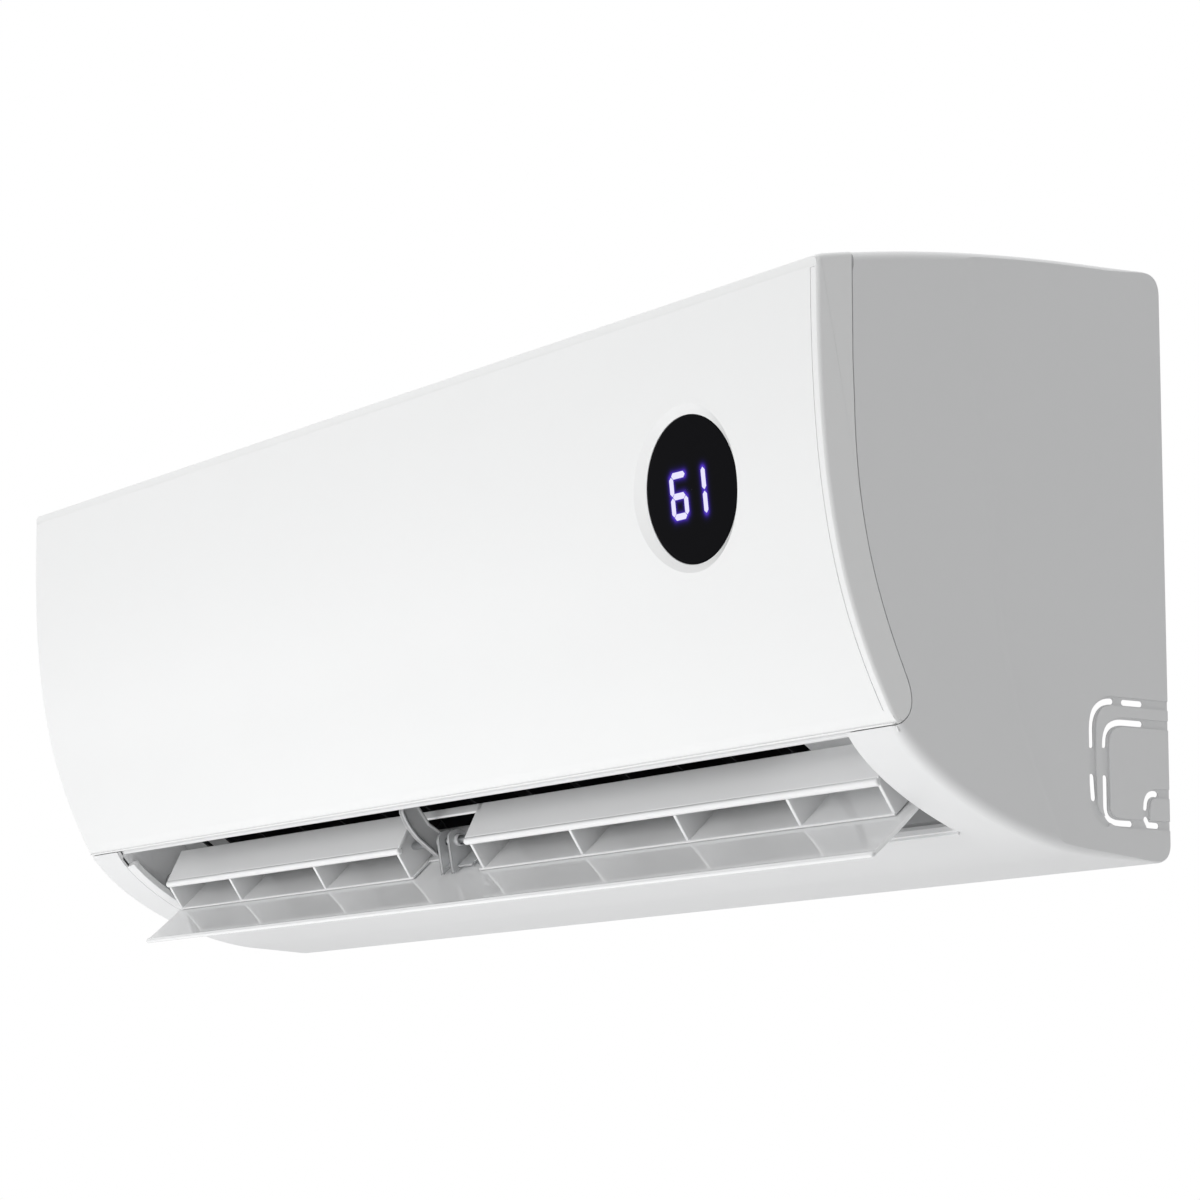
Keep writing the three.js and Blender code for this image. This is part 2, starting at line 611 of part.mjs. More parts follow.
// ---- Fan ------------------------------------------------------------------------------------
function fanWheel() {
  const { y, z, r, left, right } = FAN;
  let wheel;
  for (let i = 0; i < FAN_DISCS; i++) {
    const x = left + ((right - left - 3) * i) / (FAN_DISCS - 1);
    const disc = onFan(x, x + 3, r, 32);
    wheel = wheel ? join(wheel, disc) : disc;
  }
  for (let i = 0; i < FAN_BLADES; i++) {
    const turn = (360 / FAN_BLADES) * i;
    const blade = [32, 38, 43].map((radius, j) => {
      const angle = THREE.MathUtils.degToRad(turn + [0, 4, 11][j]);
      return [y + radius * Math.cos(angle), z + radius * Math.sin(angle)];
    });
    wheel = join(wheel, runX(strip(blade, 1.2), left + 1, right - 1));
  }
  return cut(wheel, onFan(left - 5, right + 5, 4.4, 14));
}
piece("fan_wheel", fanWheel(), BLACK_PLASTIC);
piece("fan_shaft", onFan(-352.5, 298, 4, 14), STEEL);
piece("fan_bearing", cut(onFan(-351, -343, 12, 20), onFan(-360, -340, 4.4, 14)), RUBBER);

function fanMotor() {
  const body = join(onFan(286, 334, 38, 32), onFan(280, 287, 14, 20), onFan(333, 337, 12, 16));
  return cut(body, onFan(270, 301, 4.6, 14));
}
piece("fan_motor", fanMotor(), BLACK_PLASTIC);

function motorBracket() {
  const saddle = strip(arc(FAN.y, FAN.z, 38.5, -205, 22, 16), -2.4);
  const foot = box([300, 318], [-53, -6.4], [6, 9]);
  return cut(join(runX(saddle, 300, 318), foot), onFan(290, 330, 38.4, 32));
}
piece("motor_bracket", motorBracket(), WHITE_SATIN);

// ---- Coil: three fin packs, end sheets and return bends ----------------------------------------
const COIL = { left: -343, right: 273 };
const SLABS = {
  coil_front: [[-138, 27], [-138, -38], [-160, -38], [-160, 27]],
  coil_upper: [[-97, 94], [-139, 30], [-157.4, 42.1], [-115.4, 106.1]],
  coil_rear: [[-46, 46], [-90, 94], [-73.8, 108.9], [-29.8, 60.9]],
};
const SHEET_BRIDGES = [
  [[-160, 18], [-138, 18], [-136.5, 34], [-158, 46]],
  [[-116, 104], [-98, 90], [-89, 90], [-72, 106]],
];

function centreOf(slab, along, over) {
  const [a, b, c, d] = slab;
  const { lerp } = THREE.MathUtils;
  return [0, 1].map((k) => lerp(lerp(a[k], b[k], along), lerp(d[k], c[k], along), over));
}

function endSheet(x0, x1, outwards) {
  let sheet = join(...SHEET_BRIDGES.map((bridge) => runX(bridge, x0, x1)));
  for (const slab of Object.values(SLABS)) {
    sheet = join(sheet, runX(shift(slab, -0.8, true), x0, x1));
    for (const [along, over] of [[0.2, 0.28], [0.6, 0.72]]) {
      const near = centreOf(slab, along, over);
      const far = centreOf(slab, along + 0.17, over);
      const base = (x0 + x1) / 2;
      const bend = [
        [base, ...near],
        [base + outwards * 6, ...near],
        [base + outwards * 10, (near[0] + far[0]) / 2, (near[1] + far[1]) / 2],
        [base + outwards * 6, ...far],
        [base, ...far],
      ];
      sheet = join(sheet, pipe(bend, 3.4, 6, 6));
    }
  }
  return sheet;
}

for (const [name, slab] of Object.entries(SLABS)) piece(name, runX(slab, COIL.left, COIL.right), ALUMINIUM);
piece("coil_end_left", endSheet(COIL.left - 1.8, COIL.left - GAP, -1), COPPER);
piece("coil_end_right", endSheet(COIL.right + GAP, COIL.right + 1.8, 1), COPPER);
piece("coil_sensor", barX(-163, 0, 200, 226, 2.2, 10), COPPER);

// ---- Pipes ------------------------------------------------------------------------------------
const PIPE_END = 62;
const gasRoute = [
  [279, -38, 52], [285, -34, 51], [290, -24, 40], [290, -22, 0], [290, -22, -58],
  [288, -23, -80], [272, -26, -95], [200, -26, -95], [PIPE_END, -26, -95],
];
const liquidRoute = [
  [279, -60, 80], [283, -52, 76], [284.5, -20, 62], [284.5, -11.5, 40], [284.5, -11.5, -60],
  [283, -13, -100], [268, -18, -117], [200, -18, -117], [PIPE_END, -18, -117],
];
piece("gas_pipe", pipe(gasRoute, 6.3, 8, 20), COPPER);
piece("liquid_pipe", pipe(liquidRoute, 3.2, 6, 22), COPPER);

function flareNut(y, z, radius) {
  const x = PIPE_END - GAP;
  const nut = barX(y, z, x - 22, x, radius, 6);
  return cut(nut, barX(y, z, x - 30, x - 4, radius * 0.62, 14));
}
piece("gas_flare_nut", flareNut(-26, -95, 12.5), BRASS);
piece("liquid_flare_nut", flareNut(-18, -117, 8.5), BRASS);

function pipeHolder() {
  const plate = box([112, 148], [-6.2, -4], [-134, -67]);
  const gasArm = box([126, 134], [-19.3, -6], [-98, -92]);
  const liquidArm = box([126, 134], [-14.3, -6], [-119, -115]);
  return join(plate, gasArm, liquidArm);
}
piece("pipe_holder", pipeHolder(), WHITE_SATIN);

// ---- Electrics -----------------------------------------------------------------------------------
const TRAY = { x: [340, 398], y: [-150, -14], z: [-48, 96] };

function controlTray() {
  const grow = ([low, high], d) => [low + d, high - d];
  const hollow = box(grow(TRAY.x, 2), [-160, TRAY.y[1] - 2], grow(TRAY.z, 2));
  let tray = cut(box(TRAY.x, TRAY.y, TRAY.z), hollow);
  for (const y of [-138, -28])
    for (const z of [-36, 84]) tray = join(tray, box([341, 344.6], [y - 3, y + 3], [z - 3, z + 3]));
  return tray;
}
piece("control_tray", controlTray(), WHITE_SATIN);
piece("control_cover", box([338.6, 399.4], [-153, -150.4], [-49.4, 97.4]), WHITE_SATIN);

function controlBoard() {
  let board = box([345, 346.6], [-144, -22], [-22, 90]);
  board = join(board, box([346, 372], [-62, -34], [36, 74]), box([346, 362], [-130, -112], [50, 70]));
  board = join(board, box([346, 362], [-130, -112], [24, 44]), bar([346, -90, 0], [374, -90, 0], 10, 16));
  return join(board, box([346, 358], [-60, -30], [-10, 14]));
}
piece("control_board", controlBoard(), GREEN_BOARD);

function terminalBlock() {
  let block = box([350, 390], [-140, -110], [-45.6, -36]);
  const ways = 4;
  for (let i = 0; i <= ways; i++) {
    const x = 350 + i * 9.6;
    block = join(block, box([x, x + 1.6], [-140, -110], [-37, -30]));
  }
  return block;
}
piece("terminal_block", terminalBlock(), BLACK_PLASTIC);

// ---- Filters -----------------------------------------------------------------------------------------
const FILTER_PATH = [
  ...bezier([-48, 122], [-90, 122], [-140, 118], [-165, 107], 4),
  ...bezier([-165, 107], [-178, 101], [-184, 90], [frontAt(68, FILTER_INSET), 68], 3).slice(1),
  ...shift(FRONT_CURVE, FILTER_INSET).filter(([, z], i) => z < 62 && z > -29 && i % 2),
];

function filter(x0, x1) {
  let body = runX(strip(FILTER_PATH, 0.9), x0, x1);
  const ribs = 4;
  for (let i = 0; i < ribs; i++) {
    const x = THREE.MathUtils.lerp(x0, x1 - 4, i / (ribs - 1));
    body = join(body, runX(strip(FILTER_PATH, 2.2), x, x + 4));
  }
  return body;
}
piece("filter_left", filter(-341, FILTER_SPLIT - 2), FILTER_MESH);
piece("filter_right", filter(FILTER_SPLIT + 2, 271), FILTER_MESH);

// ---- Button and screws on the front frame -----------------------------------------------------------
const buttonFace = frontAt(BUTTON.z, FRAME_INSET);
const buttonEnds = [buttonFace - 3, buttonFace + 6].map((y) => [BUTTON.x, y, BUTTON.z]);
piece("manual_button", bar(...buttonEnds, 4, 16), WHITE_GLOSS);

SCREWS.forEach((x, i) => {
  const face = frontAt(SCREW_Z + 4, FRAME_INSET) - GAP;
  const head = bar([x, face - 2.4, SCREW_Z], [x, face, SCREW_Z], 4, 14);
  const shank = bar([x, face - 1, SCREW_Z], [x, face + 14, SCREW_Z], 1.7, 8);
  piece(["case_screw_left", "case_screw_right"][i], join(head, shank), STEEL);
});

export default root;
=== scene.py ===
import json
import math

import bmesh
import bpy
import numpy as np
from mathutils import Matrix, Vector

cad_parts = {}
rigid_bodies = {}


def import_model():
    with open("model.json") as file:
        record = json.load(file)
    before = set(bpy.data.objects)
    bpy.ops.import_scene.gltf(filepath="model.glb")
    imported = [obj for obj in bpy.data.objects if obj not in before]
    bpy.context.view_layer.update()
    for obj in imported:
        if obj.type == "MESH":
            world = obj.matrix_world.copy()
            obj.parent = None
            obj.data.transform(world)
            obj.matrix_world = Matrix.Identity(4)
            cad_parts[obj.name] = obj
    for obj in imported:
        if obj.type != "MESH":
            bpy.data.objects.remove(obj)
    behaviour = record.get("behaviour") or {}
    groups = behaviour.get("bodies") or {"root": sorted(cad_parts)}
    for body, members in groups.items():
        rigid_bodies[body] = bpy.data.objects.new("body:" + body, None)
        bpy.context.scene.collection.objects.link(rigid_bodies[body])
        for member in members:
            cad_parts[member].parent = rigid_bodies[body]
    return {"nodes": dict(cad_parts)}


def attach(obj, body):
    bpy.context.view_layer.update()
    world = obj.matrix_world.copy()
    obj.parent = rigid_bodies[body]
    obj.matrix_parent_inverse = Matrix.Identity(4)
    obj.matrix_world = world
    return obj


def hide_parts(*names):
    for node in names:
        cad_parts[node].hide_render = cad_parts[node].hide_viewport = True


for spare in list(bpy.data.objects):
    bpy.data.objects.remove(spare)
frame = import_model()
bpy.context.view_layer.update()

# ---- Driving sizes, in millimetres -----------------------------------------------------
# +X is to the right seen from the front, -Y is the front and +Z is up. Side views are
# drawn as (y, z) points. The origin is on the wall, behind the middle of the unit.
MM = 0.001
HALF_WIDTH = 410
TOP_Z = 140
BOTTOM_Z = -140
WALL = 2.5
SKIN_GAP = 1.2  # the seam round the front panel
EDGE_RADIUS = 2.5
CHEEK_RADIUS = 6  # lower ends, beside the outlet
FRAME_INSET = 12  # front frame behind the panel's face
FILTER_INSET = 16.5
OUTLET = (-373, 373)  # inner faces of the two cheeks
FAN = {"y": -88, "z": -5, "r": 44, "left": -334, "right": 262}
FLAP_AXIS = (-120.2, -101)
FLAP_ENDS = (-364.5, 368.5)
LOUVER_RIBS = (-358.5, -281, -178, -82, -4, 94, 190, 285, 358)
LOUVER_WINDOW = (-78, -8)
DISPLAY = {"x": 299.5, "z": 33.8, "mouth": 42.5, "disc": 35}
DISPLAY_TURN = math.radians(2.5)  # it faces a little towards the right end
DISC_FACE = 4.1  # the disc's face behind the panel's


# ---- Lines in the side view ------------------------------------------------------------
def bezier(a, b, c, d, steps):
    line = []
    for i in range(steps + 1):
        t = i / steps
        parts = ((1 - t) ** 3, 3 * t * (1 - t) ** 2, 3 * t * t * (1 - t), t ** 3)
        line.append(tuple(sum(w * p[k] for w, p in zip(parts, (a, b, c, d))) for k in (0, 1)))
    return line


def corner(a, b, c, steps):
    line = []
    for i in range(steps + 1):
        t = i / steps
        parts = ((1 - t) ** 2, 2 * t * (1 - t), t * t)
        line.append(tuple(sum(w * p[k] for w, p in zip(parts, (a, b, c))) for k in (0, 1)))
    return line


def shift(line, distance, closed=False):
    """The line moved to its left by one distance, or by one for each point."""
    count = len(line)
    far = distance if isinstance(distance, list) else [distance] * count
    moved = []
    for i, (y, z) in enumerate(line):
        before = line[i - 1 if closed else max(i - 1, 0)]
        after = line[(i + 1) % count if closed else min(i + 1, count - 1)]
        a = Vector((y - before[0], z - before[1])).normalized()
        b = Vector((after[0] - y, after[1] - z)).normalized()
        way = (a + b).normalized()
        stretch = 1 / max(way.dot(b) if a.length and b.length else 1, 0.5)
        moved.append((y - way.y * far[i] * stretch, z + way.x * far[i] * stretch))
    return moved


def strip(line, thickness):
    """A wall of even thickness on the line's left."""
    return list(line) + shift(line, thickness)[::-1]


def ribbon(line, width, end_steps=6):
    """A band along the line with round ends."""
    half = width / 2
    outline = []
    for side in (line, line[::-1]):
        outline += shift(side, -half)
        tip, before = Vector(side[-1]), Vector(side[-2])
        ahead = (tip - before).normalized()
        across = Vector((ahead.y, -ahead.x))
        for i in range(1, end_steps):
            turn = math.pi * i / end_steps
            outline.append(tuple(tip + half * (math.cos(turn) * across + math.sin(turn) * ahead)))
    return outline


def circle(centre, radius, steps=32):
    turns = [2 * math.pi * i / steps for i in range(steps)]
    return [(centre[0] + radius * math.cos(t), centre[1] + radius * math.sin(t)) for t in turns]


def mix(a, b, share):
    return a + (b - a) * share


FRONT_CURVE = bezier((-201, 118), (-201.5, 10), (-188, -34), (-160, -84), 56)
UNDER_CURVE = bezier((-160, -84), (-148, -106), (-95, -134), (-50, -137.5), 48)
TOP_CURVE = bezier((-10, TOP_Z), (-70, TOP_Z), (-130, 137), (-197, 124.5), 24)
OUTLINE = [
    (0, -130),
    *corner((0, 129), (0, TOP_Z), (-10, TOP_Z), 10)[:-1],
    *TOP_CURVE,
    *corner((-199, 124), (-201.2, 123), (-201.2, 120), 6)[1:],
    *FRONT_CURVE,
    *UNDER_CURVE[1:],
    *corner((-11, BOTTOM_Z + 0.5), (0, BOTTOM_Z), (0, -130), 10)[:-1],
]
SEAM = [
    (-181.6, 160),
    (-181.6, 121),
    (-181.6, 118),
    (-181.6, 78),
    *bezier((-181, 60), (-180.4, 10), (-171.5, -22), (-158, -53), 24),
    *corner((-154, -62), (-146, -79), (-158.6, -84.6), 14),
]


def front_at(z, inset=0):
    line = shift(FRONT_CURVE, inset)
    for a, b in zip(line, line[1:]):
        if b[1] < z:
            return mix(a[0], b[0], (z - a[1]) / (b[1] - a[1]))


# ---- Solids ----------------------------------------------------------------------------
def new_object(points, faces, name="form"):
    mesh = bpy.data.meshes.new(name)
    mesh.from_pydata([Vector(p) * MM for p in points], [], faces)
    form = bmesh.new()
    form.from_mesh(mesh)
    bmesh.ops.remove_doubles(form, verts=form.verts, dist=1e-7)
    bmesh.ops.recalc_face_normals(form, faces=form.faces)
    form.to_mesh(mesh)
    form.free()
    piece = bpy.data.objects.new(name, mesh)
    bpy.context.scene.collection.objects.link(piece)
    return piece


def loft(rings, around=False):
    """A surface through rings of points. around joins the last ring to the first."""
    count = len(rings[0])
    points = [p for ring in rings for p in ring]
    faces = []
    if not around:
        faces = [tuple(range(count)), tuple(range(len(points) - count, len(points)))]
    for i in range(len(rings) if around else len(rings) - 1):
        low, high = i * count, (i + 1) % len(rings) * count
        for j in range(count):
            k = (j + 1) % count
            faces.append((low + j, low + k, high + k, high + j))
    return new_object(points, faces)


def prism(outline, x0, x1, rounding=0, rings=6, spans=1):
    """A side-view outline run along X, its ends rounded by one radius, or one for each point."""
    radii = rounding if isinstance(rounding, list) else [rounding] * len(outline)
    if not any(radii):
        rings = 0
    ends = []
    for i in range(rings + 1):
        turn = math.pi / 2 * i / rings if rings else math.pi / 2
        inset = shift(outline, [r * (1 - math.sin(turn)) for r in radii], True)
        ends.append([(r * (1 - math.cos(turn)), y, z) for r, (y, z) in zip(radii, inset)])
    left = [[(x0 + a, y, z) for a, y, z in ring] for ring in ends]
    right = [[(x1 - a, y, z) for a, y, z in ring] for ring in reversed(ends)]
    between = []
    for i in range(1, spans):
        pairs = zip(left[-1], right[0])
        between.append([tuple(mix(a, b, i / spans) for a, b in zip(p, q)) for p, q in pairs])
    return loft(left + between + right)


def block(x, y, z):
    return prism([(y[0], z[0]), (y[1], z[0]), (y[1], z[1]), (y[0], z[1])], *x)


def plates(outline, x0, x1, pitch, thick):
    """Thin upright plates of one side-view outline, side by side along X."""
    count = round((x1 - x0 - thick) / pitch)
    size = len(outline)
    points, faces = [], []
    for i in range(count + 1):
        first = len(points)
        x = x0 + (x1 - x0 - thick) * i / count
        points += [(x + across, y, z) for across in (0, thick) for y, z in outline]
        faces += [tuple(range(first, first + size)), tuple(range(first + size, first + 2 * size))]
        for k in range(size):
            after = (k + 1) % size
            faces.append((first + k, first + after, first + size + after, first + size + k))
    return new_object(points, faces)


def turned(profile, centre, axis, steps):
    """A closed profile of (radius, along) points turned round an axis through centre."""
    spin = Vector(axis).normalized().to_track_quat("Z", "Y")
    rings = []
    for i in range(steps):
        turn = 2 * math.pi * i / steps
        arm = Vector((math.cos(turn), math.sin(turn), 0))
        rings.append([Vector(centre) + spin @ (arm * r + Vector((0, 0, along))) for r, along in profile])
    return loft(rings, around=True)


def rod(start, end, radius, steps=24, soft=0.3):
    """A round bar with slightly rounded rims."""
    way = Vector(end) - Vector(start)
    spin = way.to_track_quat("Z", "Y")
    rings = []
    for r, along in ((radius - soft, 0), (radius, soft),
                     (radius, way.length - soft), (radius - soft, way.length)):
        turns = [2 * math.pi * i / steps for i in range(steps)]
        ring = [Vector((math.cos(t) * r, math.sin(t) * r, along)) for t in turns]
        rings.append([Vector(start) + spin @ p for p in ring])
    return loft(rings)


def settle(piece):
    """Applies the piece's modifiers to its mesh."""
    graph = bpy.context.evaluated_depsgraph_get()
    done = bpy.data.meshes.new_from_object(piece.evaluated_get(graph))
    piece.modifiers.clear()
    piece.data = done


def split_corners(piece):
    """Cuts the piece's many-sided faces into triangles."""
    form = bmesh.new()
    form.from_mesh(piece.data)
    bmesh.ops.triangulate(form, faces=[face for face in form.faces if len(face.verts) > 4])
    form.to_mesh(piece.data)
    form.free()


def combine(body, tools, operation="DIFFERENCE"):
    for piece in (body, *tools):
        split_corners(piece)
    for tool in tools:
        step = body.modifiers.new("combine", "BOOLEAN")
        step.operation = operation
        step.solver = "MANIFOLD"
        step.object = tool
    settle(body)
    for tool in tools:
        bpy.data.objects.remove(tool)
    return body


def gather(parts):
    """Several meshes as one piece, without cutting them."""
    form = bmesh.new()
    for part in parts:
        form.from_mesh(part.data)
        bpy.data.objects.remove(part)
    mesh = bpy.data.meshes.new("form")
    form.to_mesh(mesh)
    form.free()
    piece = bpy.data.objects.new("form", mesh)
    bpy.context.scene.collection.objects.link(piece)
    return piece


BEVEL_STEPS = 2
BEVEL_FROM = math.radians(32)  # edges that turn more than this are rounded


def soften(piece, width):
    """Rounds the piece's sharp edges and keeps its flat faces shading flat."""
    piece.data.polygons.foreach_set("use_smooth", [True] * len(piece.data.polygons))
    if width:
        edge = piece.modifiers.new("edges", "BEVEL")
        edge.width = width * MM
        edge.segments = BEVEL_STEPS
        edge.limit_method = "ANGLE"
        edge.angle_limit = BEVEL_FROM
        edge.miter_outer = "MITER_ARC"
    normals = piece.modifiers.new("normals", "WEIGHTED_NORMAL")
    normals.keep_sharp = True


ON_LINE = 0.04  # a corner this near a line, in mm, counts as on it
FACING = 0.97  # its face has to look along the line's own direction this well


def follow(piece, line, reach=400):
    """Smooths the shading along a side-view line: each corner on it gets the line's own direction."""
    settle(piece)
    mesh = piece.data
    points = np.array(line)
    run = points[1:] - points[:-1]
    square = (run ** 2).sum(1)
    flat = np.stack([run[:, 1], -run[:, 0]], 1) / np.sqrt(square)[:, None]
    at_points = np.vstack([flat[:1], flat[:-1] + flat[1:], flat[-1:]])
    at_points /= np.sqrt((at_points ** 2).sum(1))[:, None]
    spots = np.array([v.co for v in mesh.vertices]) / MM
    rel = spots[:, None, 1:] - points[None, :-1]
    share = np.clip((rel * run).sum(2) / square, 0, 1)
    away = np.sqrt(((rel - share[:, :, None] * run) ** 2).sum(2))
    nearest = away.argmin(1)
    rows = np.arange(len(spots))
    part = share[rows, nearest][:, None]
    way = at_points[nearest] * (1 - part) + at_points[nearest + 1] * part
    on_line = (away[rows, nearest] < ON_LINE) & (np.abs(spots[:, 0]) < reach)
    normals = [Vector(n.vector) for n in mesh.corner_normals]
    for face in mesh.polygons:
        for corner_index in face.loop_indices:
            index = mesh.loops[corner_index].vertex_index
            if on_line[index]:
                outwards = Vector((0, way[index][0], way[index][1])).normalized()
                match = outwards.dot(face.normal)
                if abs(match) > FACING:
                    normals[corner_index] = outwards * (1 if match > 0 else -1)
    mesh.normals_split_custom_set(normals)
    return piece


def add(piece, name, body, material, nodes=(), width=0):
    """Names, finishes and places a modelled piece on its CAD body."""
    piece.name = name
    piece.data.name = name
    piece.data.materials.clear()
    piece.data.materials.append(material)
    soften(piece, width)
    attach(piece, body)
    if nodes:
        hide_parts(*nodes)
    return piece


KEPT_EDGE = 0.25  # rounding on the edges of the CAD's own pieces


def keep(node, material):
    """Gives a CAD node its finish and soft edges. Its shape and place stay."""
    piece = frame["nodes"][node]
    mesh = piece.data
    for extra in ("custom_normal", "sharp_edge", "sharp_face"):
        if extra in mesh.attributes:
            mesh.attributes.remove(mesh.attributes[extra])
    mesh.materials.clear()
    mesh.materials.append(material)
    weld = piece.modifiers.new("weld", "WELD")
    weld.merge_threshold = 1e-6
    soften(piece, KEPT_EDGE)


# ---- Finishes --------------------------------------------------------------------------
REFRACTION = 1.5
MOTTLE_SCALE = 14
GLOSS_SPREAD = 0.15
GRAIN_HEIGHT = 0.02


def finish(name, color, roughness, metallic=0.0, vary=0.03, grain=900, bump=0.02,
           transmission=0.0, specular=0.5):
    """A moulded, drawn or painted surface: faint mottling, uneven gloss and fine grain."""
    material = bpy.data.materials.new(name)
    material.use_nodes = True
    tree = material.node_tree
    shader = tree.nodes["Principled BSDF"]
    shader.inputs["Metallic"].default_value = metallic
    shader.inputs["IOR"].default_value = REFRACTION
    shader.inputs["Transmission Weight"].default_value = transmission
    shader.inputs["Specular IOR Level"].default_value = specular
    place = tree.nodes.new("ShaderNodeTexCoord")
    broad = noise(tree, place, MOTTLE_SCALE, detail=3)
    tint = tree.nodes.new("ShaderNodeMix")
    tint.data_type = "RGBA"
    tint.inputs["A"].default_value = (*(c * (1 - vary) for c in color), 1)
    tint.inputs["B"].default_value = (*(min(c * (1 + vary), 1) for c in color), 1)
    tree.links.new(broad.outputs["Fac"], tint.inputs["Factor"])
    tree.links.new(tint.outputs["Result"], shader.inputs["Base Color"])
    fine = noise(tree, place, grain, detail=4)
    gloss = tree.nodes.new("ShaderNodeMapRange")
    gloss.inputs["To Min"].default_value = roughness * (1 - GLOSS_SPREAD)
    gloss.inputs["To Max"].default_value = roughness * (1 + GLOSS_SPREAD)
    tree.links.new(fine.outputs["Fac"], gloss.inputs["Value"])
    tree.links.new(gloss.outputs["Result"], shader.inputs["Roughness"])
    relief = tree.nodes.new("ShaderNodeBump")
    relief.inputs["Strength"].default_value = bump
    relief.inputs["Distance"].default_value = GRAIN_HEIGHT * MM
    tree.links.new(fine.outputs["Fac"], relief.inputs["Height"])
    tree.links.new(relief.outputs["Normal"], shader.inputs["Normal"])
    return material


def noise(tree, place, scale, detail):
    node = tree.nodes.new("ShaderNodeTexNoise")
    node.inputs["Scale"].default_value = scale
    node.inputs["Detail"].default_value = detail
    tree.links.new(place.outputs["Object"], node.inputs["Vector"])
    return node


def glow(name):
    """Black glass, lit by the colours painted on the mesh in its layer called glow."""
    material = finish(name, (0.002, 0.002, 0.003), 0.1, bump=0.0, specular=0.025)
    tree = material.node_tree
    paint = tree.nodes.new("ShaderNodeVertexColor")
    paint.layer_name = "glow"
    shader = tree.nodes["Principled BSDF"]
    shader.inputs["Emission Strength"].default_value = 1.0
    tree.links.new(paint.outputs["Color"], shader.inputs["Emission Color"])
    return material


def zoned(name, zones, roughness):
    """One piece coloured by zones, split by planes: each zone is (axis, above or below, limit in mm,
    colour).

    A later zone covers the ones before it.
    """
    material = finish(name, (1, 1, 1), roughness, vary=0.0, bump=0.1)
    tree = material.node_tree
    shader = tree.nodes["Principled BSDF"]
    place = tree.nodes.new("ShaderNodeTexCoord")
    split = tree.nodes.new("ShaderNodeSeparateXYZ")
    tree.links.new(place.outputs["Object"], split.inputs[0])
    before = None
    for axis, side, limit, color in zones:
        blend = tree.nodes.new("ShaderNodeMix")
        blend.data_type = "RGBA"
        blend.inputs["B"].default_value = (*color, 1)
        if before is None:
            blend.inputs["A"].default_value = (*color, 1)
        else:
            tree.links.new(before, blend.inputs["A"])
        test = tree.nodes.new("ShaderNodeMath")
        test.operation = side
        test.inputs[1].default_value = limit * MM
        tree.links.new(split.outputs[axis], test.inputs[0])
        tree.links.new(test.outputs[0], blend.inputs["Factor"])
        before = blend.outputs["Result"]
    tree.links.new(before, shader.inputs["Base Color"])
    return material


WHITE = (0.80, 0.805, 0.81)
GREY = (0.50, 0.505, 0.51)
PANEL_WHITE = finish("panel_white", (0.87, 0.875, 0.875), 0.30, vary=0.006, bump=0.05)
CASING_WHITE = finish("casing_white", WHITE, 0.42, vary=0.008, bump=0.12)
FLAP_WHITE = finish("flap_white", (0.88, 0.885, 0.89), 0.03, vary=0.006, bump=0.0)
INNER_GREY = finish("inner_grey", GREY, 0.42, vary=0.02, bump=0.1)
PALE_GREY = finish("pale_grey", (0.78, 0.785, 0.79), 0.42, vary=0.02, bump=0.1)
BLACK_PLASTIC = finish("black_plastic", (0.024, 0.025, 0.027), 0.38, vary=0.08, bump=0.1)
VANE_BLACK = finish("vane_black", (0.016, 0.016, 0.018), 0.5, vary=0.1, bump=0.1, specular=0.22)
CLEAR_PLASTIC = finish("clear_plastic", (0.86, 0.87, 0.88), 0.14, vary=0.01, transmission=0.55)
STEEL = finish("steel", (0.55, 0.56, 0.57), 0.30, 1.0, vary=0.06, grain=300)
ZINC_PLATE = finish("zinc_plate", (0.62, 0.63, 0.64), 0.38, 1.0, vary=0.10, grain=160)
ALUMINIUM = finish("fin_aluminium", (0.72, 0.73, 0.74), 0.32, 1.0, vary=0.05, grain=400)
COPPER = finish("copper", (0.78, 0.42, 0.27), 0.28, 1.0, vary=0.08, grain=200)
BRASS = finish("brass", (0.78, 0.60, 0.30), 0.25, 1.0, vary=0.05, grain=260)
BOARD = finish("board", (0.03, 0.17, 0.08), 0.35, vary=0.12, grain=500)
RUBBER = finish("rubber", (0.022, 0.022, 0.023), 0.75, vary=0.1, bump=0.3)
FILTER_MESH = finish("filter", (0.07, 0.10, 0.14), 0.55, vary=0.1)
LIT_GLASS = glow("lit_glass")
# The chassis: white at the back, its own colour; the grey at the ends of the air duct and the black inside
# it are painted shade.
CHASSIS_BACK = -7
DUCT_ENDS = (-347.6, 277.6)
CHASSIS_WITH_PAINTED_SHADE = zoned("chassis_with_painted_shade", [("X", "LESS_THAN", 0, WHITE),
                                  ("Y", "LESS_THAN", CHASSIS_BACK, (0.022, 0.022, 0.024)),
                                  ("X", "LESS_THAN", DUCT_ENDS[0], GREY),
                                  ("X", "GREATER_THAN", DUCT_ENDS[1], GREY),
                                  ("Y", "GREATER_THAN", CHASSIS_BACK, WHITE)], 0.5)


# ---- Camera, light and floor -----------------------------------------------------------
VIEW_POINT = (1.7868, -1.2064, -0.2899)
VIEW_RIGHT = (0.5432, 0.8396, 0.0)
VIEW_FORWARD = (-0.8302, 0.5371, 0.1495)


def camera():
    """Stands where the photo was taken from, as fitted to the unit's edges."""
    data = bpy.data.cameras.new("camera")
    view = bpy.data.objects.new("camera", data)
    bpy.context.scene.collection.objects.link(view)
    right = Vector(VIEW_RIGHT)
    forward = Vector(VIEW_FORWARD).normalized()
    right = (right - forward * right.dot(forward)).normalized()
    up = right.cross(forward)
    turn = Matrix((right, up, -forward)).transposed()
    view.matrix_world = Matrix.Translation(VIEW_POINT) @ turn.to_4x4()
    data.lens = 117.67
    data.sensor_width = 36
    bpy.context.scene.camera = view


